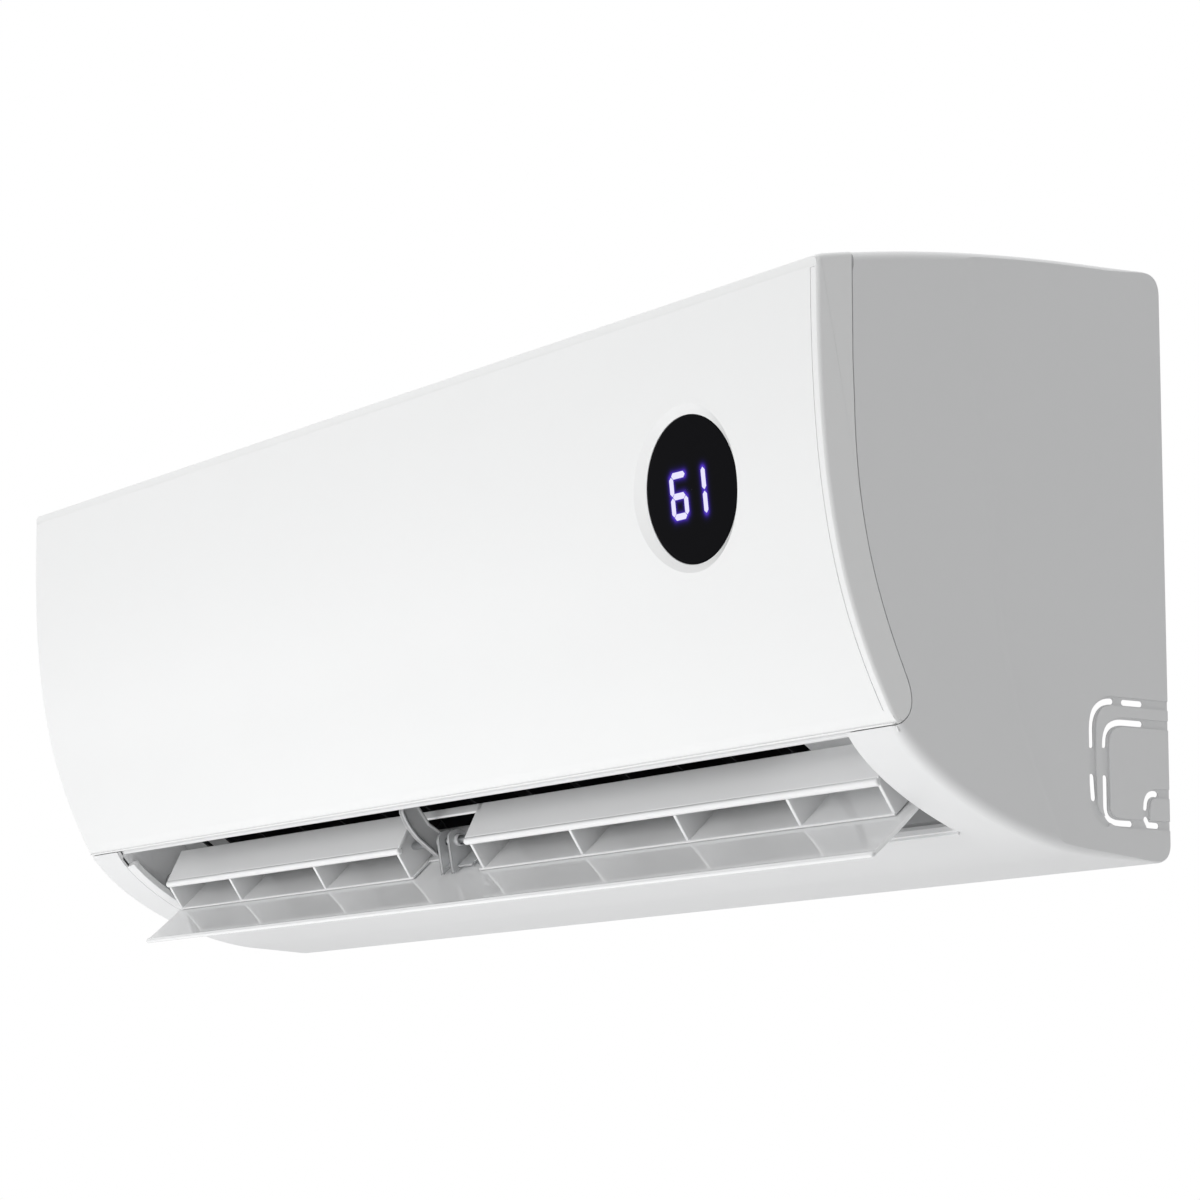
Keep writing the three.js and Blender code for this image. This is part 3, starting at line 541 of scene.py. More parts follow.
def area_light(name, spot, target, size, power):
    data = bpy.data.lights.new(name, "AREA")
    data.shape = "DISK"
    data.size = size
    data.energy = power
    lamp = bpy.data.objects.new(name, data)
    bpy.context.scene.collection.objects.link(lamp)
    lamp.location = spot
    lamp.rotation_euler = (Vector(target) - Vector(spot)).to_track_quat("-Z", "Y").to_euler()
    lamp.visible_glossy = False


def surroundings(ambient):
    """Even soft light all round; straight, mirrored or through glass it is seen as white."""
    world = bpy.data.worlds.new("studio")
    bpy.context.scene.world = world
    world.use_nodes = True
    tree = world.node_tree
    tree.nodes.clear()
    path = tree.nodes.new("ShaderNodeLightPath")
    seen = path.outputs["Is Camera Ray"]
    for kind in ("Is Glossy Ray", "Is Transmission Ray"):
        either = tree.nodes.new("ShaderNodeMath")
        either.operation = "MAXIMUM"
        tree.links.new(seen, either.inputs[0])
        tree.links.new(path.outputs[kind], either.inputs[1])
        seen = either.outputs[0]
    light = tree.nodes.new("ShaderNodeBackground")
    light.inputs["Color"].default_value = (1, 1, 1, 1)
    light.inputs["Strength"].default_value = ambient
    white = tree.nodes.new("ShaderNodeBackground")
    white.inputs["Color"].default_value = (1, 1, 1, 1)
    both = tree.nodes.new("ShaderNodeMixShader")
    out = tree.nodes.new("ShaderNodeOutputWorld")
    tree.links.new(seen, both.inputs["Fac"])
    tree.links.new(light.outputs[0], both.inputs[1])
    tree.links.new(white.outputs[0], both.inputs[2])
    tree.links.new(both.outputs[0], out.inputs["Surface"])


def floor():
    size = 7000
    level = -1150
    corners = [(-size, -size, level), (size, -size, level), (size, size, level), (-size, size, level)]
    slab = new_object(corners, [(0, 1, 2, 3)], "floor")
    material = finish("floor", (0.88, 0.88, 0.88), 0.8, vary=0.01, bump=0.02)
    slab.data.materials.append(material)


bpy.context.scene.view_settings.view_transform = "Standard"
camera()
surroundings(0.45)
area_light("key", (-0.1, -3.4, -0.2), (0, -0.1, 0), 2.6, 39)
area_light("low", (-0.1, -0.6, -1.1), (0, -0.1, -0.1), 1.4, 7.8)
area_light("top", (0.0, 0.3, 3.0), (0, -0.1, 0), 2.4, 50)
floor()


# ---- Casing ----------------------------------------------------------------------------
GRILLE = {"rows": 8, "first": -166, "pitch": 17.5, "slot": 12, "columns": 4, "half": 372, "rib": 8}


def rounded_wall(line, thickness):
    """A wall on the line's left whose two edges are round."""
    return ribbon(shift(line, thickness / 2), abs(thickness))


def panel_zone(gap):
    """Everything in front of the panel's seam, moved back by gap, and further at the very top."""
    seam = shift(SEAM, [max(gap, SKIN_GAP) if gap and z > 120 else gap for y, z in SEAM])
    low = seam[-1][1]
    return prism([*seam, (-230, low), (-230, 160)], -HALF_WIDTH - 10, HALF_WIDTH + 10)


SEAM_SHOWN = 0.55  # the width of the seam that shows in the casing
TOP_RADIUS = 4.8  # along the top of each end
TOP_FADE = (-30, -10)  # where along the depth the top turns to the edge radius
CHEEK_FADE = (-70, -96)  # where along the height the ends turn to the cheek radius
REAR_RADIUS = 5  # under the rear of each end
REAR_FADE = (-75, -12)  # where along the depth the cheek turns to it


def fade(value, limits):
    """How far the value has come between two limits, from 0 to 1."""
    return min(1, max(0, (value - limits[0]) / (limits[1] - limits[0])))


def end_radius(y, z):
    """How round the casing's end is: sharp at the panel, soft beside the outlet, less at the back."""
    if z > 110 and y > -190:
        return mix(TOP_RADIUS, EDGE_RADIUS, fade(y, TOP_FADE))
    if y > REAR_FADE[1] or z > CHEEK_FADE[0]:
        return EDGE_RADIUS
    share = fade(z, CHEEK_FADE)
    cheek = mix(EDGE_RADIUS, CHEEK_RADIUS, share * share * (3 - 2 * share))
    return mix(cheek, REAR_RADIUS, fade(y, REAR_FADE))


def casing_form():
    return prism(OUTLINE, -HALF_WIDTH, HALF_WIDTH, [end_radius(*p) for p in OUTLINE], 9)


def casing_hollow():
    bottom = BOTTOM_Z + 0.5 + WALL
    inside = [p for p in shift(OUTLINE, WALL, True) if p[0] < -11]
    half = HALF_WIDTH - WALL
    hollow = prism([(20, bottom), (20, TOP_Z - WALL), *inside], -half, half)
    under = [(60, bottom), (60, 300), (-300, 300), (-300, -84 + WALL), *shift(UNDER_CURVE, WALL)]
    return combine(hollow, [prism(under, -half, half, CHEEK_RADIUS - WALL, 6)], "INTERSECT")


def grille_slots():
    slots = []
    column = 2 * GRILLE["half"] / GRILLE["columns"]
    for row in range(GRILLE["rows"]):
        y = GRILLE["first"] + row * GRILLE["pitch"]
        for i in range(GRILLE["columns"]):
            x = -GRILLE["half"] + i * column + GRILLE["rib"] / 2
            slots.append(block((x, x + column - GRILLE["rib"]), (y, y + GRILLE["slot"]), (115, 150)))
    return gather(slots)


# Break-outs for the pipes, low at the back of each side: the two grooves round them,
# the small one at the corner, and the stretches that are cut right through.
OUTER_GROOVE = [(4, -66), (-26, -65.8), *corner((-34, -65.6), (-46, -65.6), (-46.3, -80), 8),
                (-46.3, -108), *corner((-46, -113), (-45, -120), (-38.5, -122), 6)]
INNER_GROOVE = [(4, -75.2), (-22, -75.2), *corner((-28, -75.2), (-38.3, -75.6), (-38.6, -86), 8),
                (-38.6, -112), *corner((-38.6, -115), (-38, -122), (-28, -122), 8), (4, -122)]
SMALL_GROOVE = [(4, -107.2), (-6, -107.2), *corner((-8, -107.2), (-14.4, -107.4), (-14.6, -114), 6),
                (-14.8, -120)]
RECESS = 0.7  # the rear of each end lies this much deeper
GROOVE = {"width": 4.4, "depth": RECESS + 1.25}
THROUGH_CUTS = [
    [(-46.5, -86.9), (-46.5, -79), *corner((-46.2, -76), (-44, -66.2), (-34, -65.9), 8)],
    [(-26.5, -66), (-16.5, -66)],
    [(-46.3, -101.4), (-45.6, -111.3)],
    [(-38.8, -86.4), *corner((-38.6, -83), (-37, -75.6), (-28, -75.3), 8), (-16.7, -75.3)],
    [(-38.6, -101.6), (-38.6, -112), *corner((-38.6, -116), (-38, -122), (-30, -122), 6), (-23.9, -122)],
    [(-8.3, -107.4), *corner((-10, -107.3), (-14.5, -108), (-14.7, -114), 6)],
    [(-14.4, -119.5), (-13, -122), (-7.9, -122.1)],
]
CUT_WIDTH = 2.8
CREASE = [(-116, 150), (-114.7, 132.8), (-111, 87), (-106, 46), (-103, 0), (-98.5, -40), (-90.5, -75),
          (-79.4, -104), (-66.7, -130), (-60, -146)]
CREASE_WIDTH = (9, 4)


def crease(side):
    """The slope down the end, wide at the top and narrow at the bottom, and the recess behind it."""
    steps = 6
    outside = side * (HALF_WIDTH + 3)
    rear = 12  # past the wall plane
    rings = []
    for i, (y, z) in enumerate(CREASE):
        ahead, behind = CREASE[min(i + 1, len(CREASE) - 1)], CREASE[max(i - 1, 0)]
        forwards = Vector((ahead[1] - behind[1], behind[0] - ahead[0])).normalized()
        width = mix(*CREASE_WIDTH, i / (len(CREASE) - 1))
        ring = []
        for k in range(steps + 1):
            share = k / steps
            sink = RECESS * (1 - math.cos(math.pi * share)) / 2 - 0.002
            reach = (0.5 - share) * width
            ring.append((side * (HALF_WIDTH - sink), y + forwards.x * reach, z + forwards.y * reach))
        ring.append((side * (HALF_WIDTH - RECESS), rear, z))
        ring.append((outside, rear, z))
        ring.append((outside, y + forwards.x * width / 2, z + forwards.y * width / 2))
        rings.append(ring)
    return loft(rings)


def side_cuts(side):
    deep = HALF_WIDTH - GROOVE["depth"]
    groove_x = sorted((side * deep, side * (HALF_WIDTH + 5)))
    wall_x = sorted((side * (HALF_WIDTH - 8), side * (HALF_WIDTH + 8)))
    grooves = (OUTER_GROOVE, INNER_GROOVE, SMALL_GROOVE)
    cuts = [prism(ribbon(line, GROOVE["width"]), *groove_x) for line in grooves]
    cuts += [prism(ribbon(line, CUT_WIDTH), *wall_x) for line in THROUGH_CUTS]
    cuts.append(crease(side))
    return cuts


OUTLET_CUT = [(-175, -85.1), (-152, -80), (-95.5, -116), (-97.6, -122.5), (-101.5, -136), (-175, -136)]


def casing():
    body = combine(casing_form(), [casing_hollow(), panel_zone(SEAM_SHOWN), prism(OUTLET_CUT, *OUTLET)])
    body = combine(body, [grille_slots()])
    for side in (-1, 1):
        for cut in side_cuts(side):
            body = combine(body, [cut])
    return body


def cheek_walls():
    """The inner face of each cheek, and the narrow ledge round the outlet."""
    inner = [(-88, -129), (-84, -112), (-98, -70), (-140, -66), (-153, -78)]
    side = [p for p in shift(UNDER_CURVE, 1) if -156 < p[0] < -92] + inner
    walls = [prism(side, OUTLET[0] - WALL, OUTLET[0]), prism(side, OUTLET[1], OUTLET[1] + WALL)]
    line = [p for p in UNDER_CURVE if -153 < p[0] < -103]
    for stations in (((-374, 0.3), (-372.6, 0.3), (-366.5, 2)), ((370.6, 2), (372.6, 0.3), (374, 0.3))):
        rings = []
        for x, sink in stations:
            section = shift(line, sink) + shift(line, 5.6)[::-1]
            rings.append([(x, y, z) for y, z in section])
        walls.append(loft(rings))
    return gather(walls)


# The hooked lip over the outlet, which shows as a light strip under the panel's edge.
OUTLET_LIP = [(-145.6, -76.2), (-149.2, -78.4),
              *corner((-154.2, -81.3), (-156.6, -82.8), (-155.4, -84.6), 5),
              *corner((-155.2, -85.0), (-153.4, -86.8), (-151.9, -84.8), 6),
              (-151.9, -83.4), (-148.3, -80.1), (-144.8, -77.7)]
# The flange along the outlet's rear edge, clear of the flap's swing.
REAR_LIP = [(-97.6, -127.2), (-96.6, -124.6), (-94, -121.5)]
REAR_LIP_THICK = 1.4


def front_frame():
    """What the panel covers: the frame round the filters, the seam's rebate and the lips."""
    face = [p for p in shift(FRONT_CURVE, FRAME_INSET) if p[1] < 113]
    frame_face = prism(strip(face, WALL), -404.6, 404.6)
    for x in ((-342, -40), (-32, 272)):
        frame_face = combine(frame_face, [block(x, (-205, -150), (-30, 103))])
    top = [(-189.8, 109.5), (-176.5, 109.5), (-176.5, 125.6), (-179, 125.6), (-179, 112), (-189.8, 112)]
    parts = [frame_face, prism(top, -406.9, 406.9), prism(OUTLET_LIP, OUTLET[0] - 1, OUTLET[1] + 1)]
    parts.append(prism(rounded_wall(REAR_LIP, -REAR_LIP_THICK), OUTLET[0] - 1, OUTLET[1] + 1))
    seam = [p for p in shift(SEAM, SKIN_GAP) if p[1] < 112]
    flange = [p for p in shift(face, WALL / 3) if p[1] > -56]
    flange += [p for p in shift(seam, WALL / 3) if p[1] > -56][::-1]
    for side in (-1, 1):
        parts.append(prism(flange, *sorted((side * 401.8, side * 404.1))))
        parts.append(prism(strip(seam, WALL), *sorted((side * 402.2, side * 408.5))))
    return gather(parts)


shell = add(casing(), "casing_shell", "root", CASING_WHITE, ["casing"], width=0.2)
follow(follow(shell, UNDER_CURVE), TOP_CURVE)
add(cheek_walls(), "cheek_walls", "root", CASING_WHITE, width=0.4)
add(front_frame(), "front_frame", "root", CASING_WHITE, width=0.3)


# ---- Front panel -----------------------------------------------------------------------
BORDER = {"side": 5, "bottom": 6, "top": 118.6, "step": 0.3, "edge": 1.1}


def border_cuts():
    """The panel's face ends in a fine step, with a narrow border round it."""
    cuts = []
    outside = HALF_WIDTH + 2
    line = shift(FRONT_CURVE, -2) + shift(FRONT_CURVE, BORDER["step"])[::-1]
    for side in (-1, 1):
        cuts.append(prism(line, *sorted((side * (HALF_WIDTH - BORDER["side"]), side * outside))))
    bottom = [p for p in FRONT_CURVE if p[1] < -84 + BORDER["bottom"] + 1]
    slope = [mix(BORDER["step"], BORDER["edge"], i / (len(bottom) - 1)) for i in range(len(bottom))]
    cuts.append(prism(shift(bottom, -2) + shift(bottom, slope)[::-1], -outside, outside))
    step = front_at(117.5) + BORDER["step"]
    above = [(-210, BORDER["top"]), (step, BORDER["top"]), (step + 0.25, 123), (step + 0.25, 130),
             (-210, 130)]
    cuts.append(prism(above, -outside, outside))
    return cuts


def display_axes():
    """The display's centre on the panel's face, and its right, up and inward directions."""
    tilt = math.atan2(front_at(DISPLAY["z"] - 5) - front_at(DISPLAY["z"] + 5), 10)
    inward = Vector((0, math.cos(tilt), math.sin(tilt)))
    right = Vector((1, 0, 0)) * math.cos(DISPLAY_TURN) + inward * math.sin(DISPLAY_TURN)
    inward = inward * math.cos(DISPLAY_TURN) - Vector((1, 0, 0)) * math.sin(DISPLAY_TURN)
    centre = Vector((DISPLAY["x"], front_at(DISPLAY["z"]), DISPLAY["z"]))
    return centre, right, right.cross(inward), inward


MOUTH_STEPS = 160
HOLE_DEPTH = (-6, 14)


def mouth_circles():
    """Points round the display's mouth, each with its neighbour on the disc's edge.

    Also the mouth's centre and the straight way in.
    """
    centre, right, up, inward = display_axes()
    tilt = math.atan2(-inward.z, inward.y)
    level, slope = Vector((1, 0, 0)), Vector((0, math.sin(tilt), math.cos(tilt)))
    pairs = []
    for i in range(MOUTH_STEPS):
        turn = 2 * math.pi * i / MOUTH_STEPS
        mouth = centre + DISPLAY["mouth"] * (level * math.cos(turn) + slope * math.sin(turn))
        edge = centre + (DISPLAY["disc"] + 0.15) * (right * math.cos(turn) + up * math.sin(turn))
        pairs.append((mouth, edge + inward * DISC_FACE))
    return pairs, centre, level.cross(slope) * -1


def front_panel():
    panel = prism(OUTLINE, -HALF_WIDTH, HALF_WIDTH, EDGE_RADIUS, 8, spans=41)
    inner = prism(shift(OUTLINE, WALL, True), WALL - HALF_WIDTH, HALF_WIDTH - WALL)
    panel = combine(panel, [inner])
    panel = combine(panel, [panel_zone(0)], "INTERSECT")
    for cut in border_cuts():
        panel = combine(panel, [cut])
    soften(panel, 0.3)
    centre, _, _, axis = display_axes()
    axis = Vector((0, axis.y, axis.z)).normalized()
    wide = DISPLAY["mouth"] + 0.1
    low, high = HOLE_DEPTH
    hole = turned([(0.001, low), (wide, low), (wide, high), (0.001, high)], centre, axis, MOUTH_STEPS)
    return combine(panel, [hole])


panel_shell = add(front_panel(), "front_panel_shell", "panel", PANEL_WHITE,
                  ["front_panel"])
follow(follow(panel_shell, FRONT_CURVE, 409), shift(FRONT_CURVE, BORDER["step"]), 409)


# Seven-segment figures: the places of their strokes, in mm from the display's centre.
FIGURE = {"top": 8.1, "middle": -1.75, "bottom": -11.4, "left": -14.9, "right": -4.7, "one": 9.9}
STROKE = 3.0  # the width of a stroke
STROKE_GAP = 0.35
STROKE_POINT = 0.45  # how long the pointed end is, against the width
HALO_FADE = 0.75


def strokes():
    """Each lit stroke as its two ends on the disc, across and up."""
    top, middle, bottom = FIGURE["top"], FIGURE["middle"], FIGURE["bottom"]
    left, right, one = FIGURE["left"], FIGURE["right"], FIGURE["one"]
    six = [((left, top), (right + 1, top)), ((left, top), (left, middle)),
           ((left, middle), (right, middle)), ((left, middle), (left, bottom)),
           ((right, middle), (right, bottom)), ((left, bottom), (right, bottom))]
    return six + [((one, top + 1.4), (one, middle)), ((one, middle), (one, bottom - 1.4))]


def stroke_outline(start, end):
    """A bar with pointed ends that stop short of its neighbours."""
    a, b = Vector(start), Vector(end)
    along = (b - a).normalized()
    across = Vector((-along.y, along.x)) * STROKE / 2
    a, b = a + along * STROKE_GAP, b - along * STROKE_GAP
    taper = along * STROKE * STROKE_POINT
    return [a, a + taper - across, b - taper - across, b, b - taper + across, a + taper + across]


def glow_at(u, v):
    """How bright the halo is at a place on the disc: it falls off away from the strokes."""
    nearest = 99
    for start, end in strokes():
        a, b = Vector(start), Vector(end)
        inwards = (b - a).normalized() * STROKE * 0.4
        a, b = a + inwards, b - inwards
        share = max(0.0, min(1.0, (Vector((u, v)) - a).dot(b - a) / (b - a).length_squared))
        nearest = min(nearest, (Vector((u, v)) - a.lerp(b, share)).length)
    return math.exp(-max(nearest - STROKE / 2, 0) / HALO_FADE)


HALO = (0.075, 0.03, 0.52)
LIT = (0.82, 0.79, 1.0)
FINE_RINGS = 0.55  # the pitch of the disc's rings, fine enough to carry the halo


def paint_glow(piece, color_of):
    """Paints each point of the piece's glow layer by its place in mm."""
    layer = piece.data.color_attributes.new("glow", "FLOAT_COLOR", "POINT")
    for i, vertex in enumerate(piece.data.vertices):
        layer.data[i].color = (*color_of(vertex.co / MM), 1)


def display():
    centre, right, up, inward = display_axes()
    disc, face = DISPLAY["disc"], DISC_FACE
    pairs, centre, straight = mouth_circles()
    rings = []
    for mouth, edge in pairs:
        outwards = (mouth - centre).normalized()
        outer = mouth + outwards * 0.08
        rings.append([mouth, edge, edge + inward * 2, outer + straight * 7, outer])
    bezel = combine(loft(rings, around=True), [prism(OUTLINE, 200, 400, spans=10)], "INTERSECT")
    bezel.data.set_sharp_from_angle(angle=math.radians(13))
    ring = add(bezel, "display_ring", "panel", PANEL_WHITE, ["display_bezel"])
    follow(ring, FRONT_CURVE)
    radii = [0.001] + [k * FINE_RINGS for k in range(1, 62)]
    glass = [(r, face) for r in radii] + [(disc - 0.5, face), (disc - 0.15, face + 0.12), (disc, face + 0.5)]
    lens = turned(glass + [(disc, face + 1.8), (0.001, face + 1.8)], centre, inward, 240)
    add(lens, "display_disc", "panel", LIT_GLASS, ["display_lens"])

    def halo(point):
        offset = point - centre
        share = glow_at(offset.dot(right), offset.dot(up)) if offset.dot(inward) < face + 0.05 else 0
        return [c * share for c in HALO]

    paint_glow(lens, halo)
    bars = []
    for start, end in strokes():
        outline = stroke_outline(start, end)
        rings = []
        for inset, height in ((0, 0.06), (0, -0.10), (0.12, -0.14)):
            middle = sum(outline, Vector((0, 0))) / len(outline)
            ring = [p + (middle - p).normalized() * inset for p in outline]
            rings.append([centre + right * p.x + up * p.y + inward * (face + height) for p in ring])
        bars.append(loft(rings))
    figures = gather(bars)
    add(figures, "display_figures", "panel", LIT_GLASS)
    paint_glow(figures, lambda point: LIT)


display()


# ---- Outlet flap -----------------------------------------------------------------------
FLAP_FRONT = (-142.5, -138.1)
FLAP_REAR = (-91.5, -88.8)
FLAP_BULGE = 3
FLAP_OUT = (0.695, -0.719)  # the way its outer face looks
FLAP_THICK = 2.2
FLAP_MIDDLE = [(a + b) / 2 + FLAP_BULGE * out for a, b, out in zip(FLAP_FRONT, FLAP_REAR, FLAP_OUT)]
FLAP_FACE = corner(FLAP_FRONT, FLAP_MIDDLE, FLAP_REAR, 40)
LOUVER_FRONT = (-130.8, -104.5)
LOUVER_TOP = (-120.9, -84.5)
LOUVER_FOOT = [p for p in FLAP_FACE if -122 < p[0] < -103]
LEAF_THICK = 1.8
FOOT_THICK = 1.2
GAP = 0.4  # between the outer plate and the louver's foot


def flap_plate():
    """The outer plate, with a round bead along its front edge."""
    bead = shift(FLAP_FACE, -FLAP_THICK / 2)[0]
    return gather([prism(rounded_wall(FLAP_FACE, -FLAP_THICK), *FLAP_ENDS, 0.9, 4),
                   prism(circle((bead[0] + 0.7, bead[1] + 0.7), 1.45), *FLAP_ENDS, 1, 4)])


def leaf_line(start):
    """The leaf's line in the side view, from a share of its height up to its top edge."""
    return [tuple(mix(a, b, t) for a, b in zip(LOUVER_FRONT, LOUVER_TOP)) for t in (start, 1)]


def louver():
    """The inner louver: a leaf with a round lip, a foot with a bead, and ribs between them."""
    first, last = LOUVER_RIBS[0] - 1, LOUVER_RIBS[-1] + 1
    leaf = rounded_wall(leaf_line(0.1), LEAF_THICK)
    foot_line = shift(LOUVER_FOOT, GAP + FOOT_THICK / 2)
    foot = ribbon(foot_line, FOOT_THICK)
    lip = circle((LOUVER_FRONT[0] + 0.2, LOUVER_FRONT[1] + 0.4), 2.1)
    foot_y, foot_z = foot_line[0]
    bead = [(foot_y - 0.5, foot_z - 0.4), (foot_y + 0.5, foot_z - 0.4), (foot_y + 0.6, foot_z + 0.6),
            (foot_y + 0.1, foot_z + 0.8), (foot_y - 0.4, foot_z + 0.6)]
    parts = []
    for x0, x1 in ((first, LOUVER_WINDOW[0]), (LOUVER_WINDOW[1], last)):
        parts.append(prism(leaf, x0, x1, 0.5, 3))
        parts.append(prism(lip, x0, x1, 1.2, 4))
        parts.append(prism(foot, x0, x1, 0.4, 3))
        parts.append(prism(bead, x0, x1, 0.4, 3))
    bridge = rounded_wall(leaf_line(0.83), LEAF_THICK)
    window = (LOUVER_WINDOW[0] - 4, LOUVER_WINDOW[1] + 4)
    parts.append(prism(bridge, *window))
    parts.append(prism(ribbon([p for p in foot_line if p[0] > -112], FOOT_THICK), *window))
    front, top = shift([LOUVER_FRONT, LOUVER_TOP], 0.6)
    rib = [front, *foot_line, top]
    for x in LOUVER_RIBS:
        parts.append(prism(rib, x - 1.2, x + 1.2, 0.6, 3))
    return gather(parts)


add(flap_plate(), "flap_plate", "flap", FLAP_WHITE, ["flap_outer"])
add(louver(), "louver", "flap", FLAP_WHITE, ["flap_louver"])


# ---- Support arm and clip at the middle of the flap ------------------------------------
ARM_FRONT = [(-147.0, -80.5), (-146.6, -86.5), *corner((-144.5, -90.5), (-141.5, -95.5), (-136, -100.5), 5),
             (-124.5, -108.6)]
ARM_REAR = [(-118.2, -97.5), (-129.5, -91.0), (-137, -81), (-142, -78.4)]
ARM_X = (-52, -48)
CLIP_X = (-46.3, -33)
CLIP_WALL = 2.4
AXLE_BORE = 2.35


def arc_points(centre, radius, start, end, steps=14):
    turns = [math.radians(mix(start, end, i / steps)) for i in range(steps + 1)]
    return [(centre[0] + radius * math.cos(t), centre[1] + radius * math.sin(t)) for t in turns]


def flap_support():
    """A flat arm from the outlet's lip down to the flap's axle, with a rim round it."""
    outline = ARM_FRONT + arc_points(FLAP_AXIS, 5.6, 245, 395, 12)[1:-1] + ARM_REAR
    web = prism(outline, ARM_X[0] + 0.9, ARM_X[1] - 1.2, 0.3, 2)
    rim = [p for p in shift(outline, 1.5, True)]
    middle = combine(prism(outline, *ARM_X, 0.5, 3), [prism(rim, ARM_X[0] - 1, ARM_X[1] + 1)])
    hub = turned([(AXLE_BORE, -2), (3.9, -2), (4.1, -1.8), (4.1, 2), (3.9, 2.2), (AXLE_BORE, 2.2)],
                 (sum(ARM_X) / 2, *FLAP_AXIS), (1, 0, 0), 48)
    eye = prism(circle(FLAP_AXIS, AXLE_BORE), -60, -40)
    return gather([combine(web, [eye]), middle, hub])


def flap_clip():
    """Two rounded cheeks round the axle, joined by a web, on a foot that sits on the flap."""
    foot_line = shift(LOUVER_FOOT, 2 * GAP + FOOT_THICK)
    foot = [p for p in foot_line if p[0] < -108]
    cheek = arc_points(FLAP_AXIS, 5.4, 205, -15) + foot[::-1]
    x0, x1 = CLIP_X
    bore = prism(circle(FLAP_AXIS, AXLE_BORE), -60, -20)
    left = prism(cheek, x0, x0 + CLIP_WALL, 0.8, 4)
    right = prism(cheek, x1 - CLIP_WALL, x1, 0.8, 4)
    body = combine(gather([left, right]), [bore])
    inner = [p for p in shift(cheek, -1.6, True) if p[1] < FLAP_AXIS[1] - 3.4]
    web = prism(inner, x0 + 1, x1 - 1, 0.4, 2)
    boss = turned([(AXLE_BORE, 0), (3.4, 0), (3.4, 3.2), (3.0, 3.8), (AXLE_BORE, 4)],
                  (x1 - 0.6, *FLAP_AXIS), (1, 0, 0), 40)
    pad_line = [p for p in foot_line if -121 < p[0] < -106]
    pad = prism(ribbon(shift(pad_line, 0.5), 1.1), x1 - 1, x1 + 15, 0.3, 2)
    return gather([body, web, boss, pad])


add(flap_support(), "support_arm", "root", INNER_GREY, ["flap_support"])
add(flap_clip(), "support_clip", "flap", CLEAR_PLASTIC, ["flap_clip"])


# ---- Fan, coil and filters -------------------------------------------------------------
FAN_RING = {"sections": 9, "thick": 2, "inner": 31, "shaft_bore": 4.6}
BLADES = 35
BLADE_THICK = 1.1
# A blade's line from its inner edge out: radius in mm, and degrees round the axis.
BLADE_CURVE = ((31.6, 0), (35, 1.8), (38.4, 4.4), (41.2, 7.6), (43.3, 11.5))


def fan_wheel():
    """Curved blades in sections between thin rings, with a full disc at each end."""
    parts = []
    sections, thick = FAN_RING["sections"], FAN_RING["thick"]
    for i in range(sections + 1):
        x = mix(FAN["left"], FAN["right"] - thick, i / sections)
        inner = FAN_RING["shaft_bore"] if i in (0, sections) else FAN_RING["inner"]
        ring = [(inner, 0), (FAN["r"], 0), (FAN["r"], thick), (inner, thick)]
        parts.append(turned(ring, (x, FAN["y"], FAN["z"]), (1, 0, 0), 64))
    for i in range(BLADES):
        blade = []
        for radius, bend in BLADE_CURVE:
            turn = math.radians(360 / BLADES * i + bend)
            blade.append((FAN["y"] + radius * math.cos(turn), FAN["z"] + radius * math.sin(turn)))
        parts.append(prism(ribbon(blade, BLADE_THICK, 4), FAN["left"] + 1, FAN["right"] - 1))
    return gather(parts)


COIL = (-343, 273)
SLABS = {
    "coil_front": [(-138, 27), (-138, -38), (-160, -38), (-160, 27)],
    "coil_upper": [(-97, 94), (-139, 30), (-157.4, 42.1), (-115.4, 106.1)],
    "coil_rear": [(-46, 46), (-90, 94), (-73.8, 108.9), (-29.8, 60.9)],
}
FIN_PITCH = 1.9
FIN_THICK = 0.22
TUBE_RADIUS = 3.5
TUBE_ROWS = (0.28, 0.72)  # as shares of the slab's thickness
TUBES = 3


def fin_pack(slab):
    """Thin fins side by side, with the tubes that run through them."""
    parts = [plates(slab, *COIL, FIN_PITCH, FIN_THICK)]
    a, b, c, d = [Vector(p) for p in slab]
    for row in TUBE_ROWS:
        for k in range(TUBES):
            share = (k + 0.75) / (TUBES + 0.5)
            spot = a.lerp(b, share).lerp(d.lerp(c, share), row)
            parts.append(rod((COIL[0], *spot), (COIL[1], *spot), TUBE_RADIUS))
    return gather(parts)


FILTERS = {"filter_left": (-341, -38), "filter_right": (-34, 271)}
FILTER_PATH = [*bezier((-48, 122), (-90, 122), (-140, 118), (-165, 107), 12),
               *bezier((-165, 107), (-178, 101), (-184, 90), (front_at(68, FILTER_INSET), 68), 8)[1:],
               *[p for p in shift(FRONT_CURVE, FILTER_INSET) if -29 < p[1] < 62][::3]]
THREAD = 0.5
THREAD_PITCH = 2.6
RIB = {"thick": 2.2, "wide": 4, "bays": 3, "cross": 6}  # the filter's frame


def along_path(path, distance):
    """The point of the path at a distance from its start."""
    for a, b in zip(path, path[1:]):
        length = math.dist(a, b)
        if distance <= length:
            return tuple(mix(a[k], b[k], distance / length) for k in (0, 1))
        distance -= length
    return path[-1]


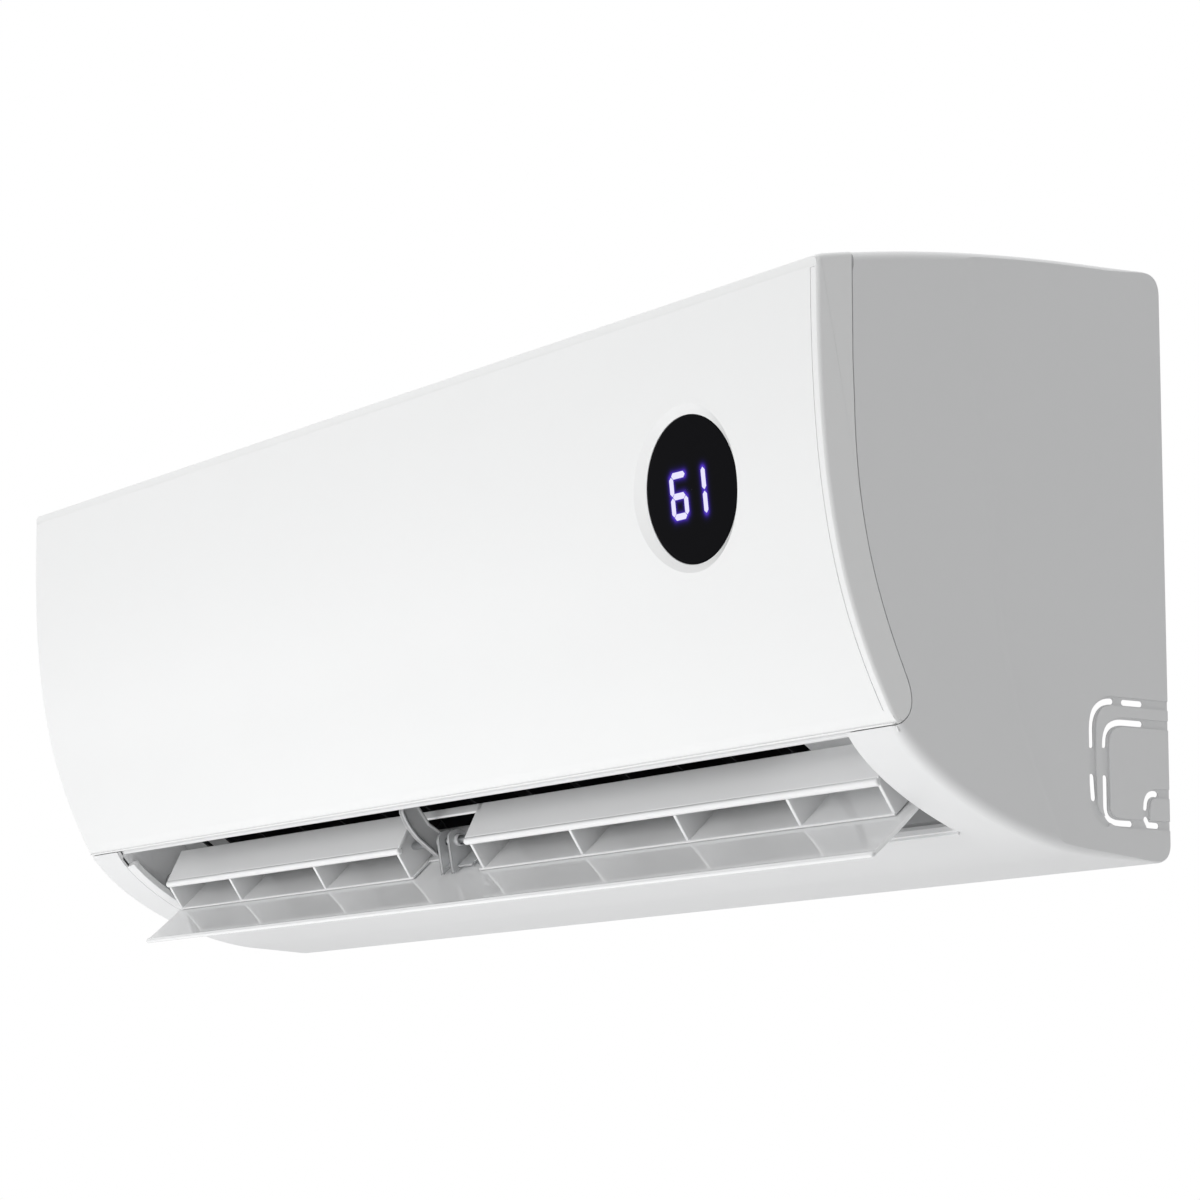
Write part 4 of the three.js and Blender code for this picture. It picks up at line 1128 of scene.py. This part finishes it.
def filter_screen(x0, x1):
    """A net of crossed threads in a ribbed frame that bends over the coil."""
    net_line = shift(FILTER_PATH, 0.8)
    parts = [plates(strip(net_line, THREAD), x0 + 2, x1 - 2, THREAD_PITCH, THREAD)]
    wide = RIB["wide"]
    bay = (x1 - x0 - wide) / RIB["bays"]
    parts.append(plates(strip(FILTER_PATH, RIB["thick"]), x0, x1, bay, wide))
    length = sum(math.dist(a, b) for a, b in zip(net_line, net_line[1:]))
    for i in range(1, int(length / THREAD_PITCH)):
        spot = along_path(net_line, i * THREAD_PITCH)
        parts.append(prism(circle(spot, THREAD / 2, 4), x0 + 2, x1 - 2))
    for i in range(RIB["cross"]):
        start = (length - wide) * i / (RIB["cross"] - 1)
        edge = [along_path(FILTER_PATH, start + k) for k in (0, wide / 2, wide)]
        parts.append(prism(strip(edge, RIB["thick"]), x0, x1))
    return gather(parts)


add(fan_wheel(), "fan_blades", "fan", BLACK_PLASTIC, ["fan_wheel"])
for node, slab in SLABS.items():
    add(fin_pack(slab), node.replace("coil", "fins"), "root", ALUMINIUM, [node])
for node, ends in FILTERS.items():
    name = node.replace("filter", "screen")
    add(filter_screen(*ends), name, "root", FILTER_MESH, [node])


# ---- CAD pieces that stay as they are --------------------------------------------------
KEPT = [
    (ZINC_PLATE, ["mounting_plate"]),
    # the chassis's grey duct ends and black duct inside are painted shade
    (CHASSIS_WITH_PAINTED_SHADE, ["chassis"]),
    (BOARD, ["display_board", "control_board"]),
    (STEEL, ["flap_axle", "flap_pin_left", "flap_motor", "fan_shaft", "case_screw_left",
             "case_screw_right"]),
    (CLEAR_PLASTIC, ["flap_bush_left"]),
    (BLACK_PLASTIC, ["flap_coupling", "fan_motor", "terminal_block", "vane_link_left",
                     "vane_link_right"]),
    (VANE_BLACK, ["drain_pan"] + [f"vane_{bank}_{i}" for bank in ("left", "right") for i in range(1, 7)]),
    (PALE_GREY, ["motor_cover"]),
    (RUBBER, ["fan_bearing"]),
    (COPPER, ["coil_end_left", "coil_end_right", "coil_sensor", "gas_pipe", "liquid_pipe"]),
    (BRASS, ["gas_flare_nut", "liquid_flare_nut"]),
    (CASING_WHITE, ["motor_bracket", "pipe_holder", "control_tray", "control_cover"]),
    (PANEL_WHITE, ["manual_button"]),
]
for material, nodes in KEPT:
    for node in nodes:
        keep(node, material)
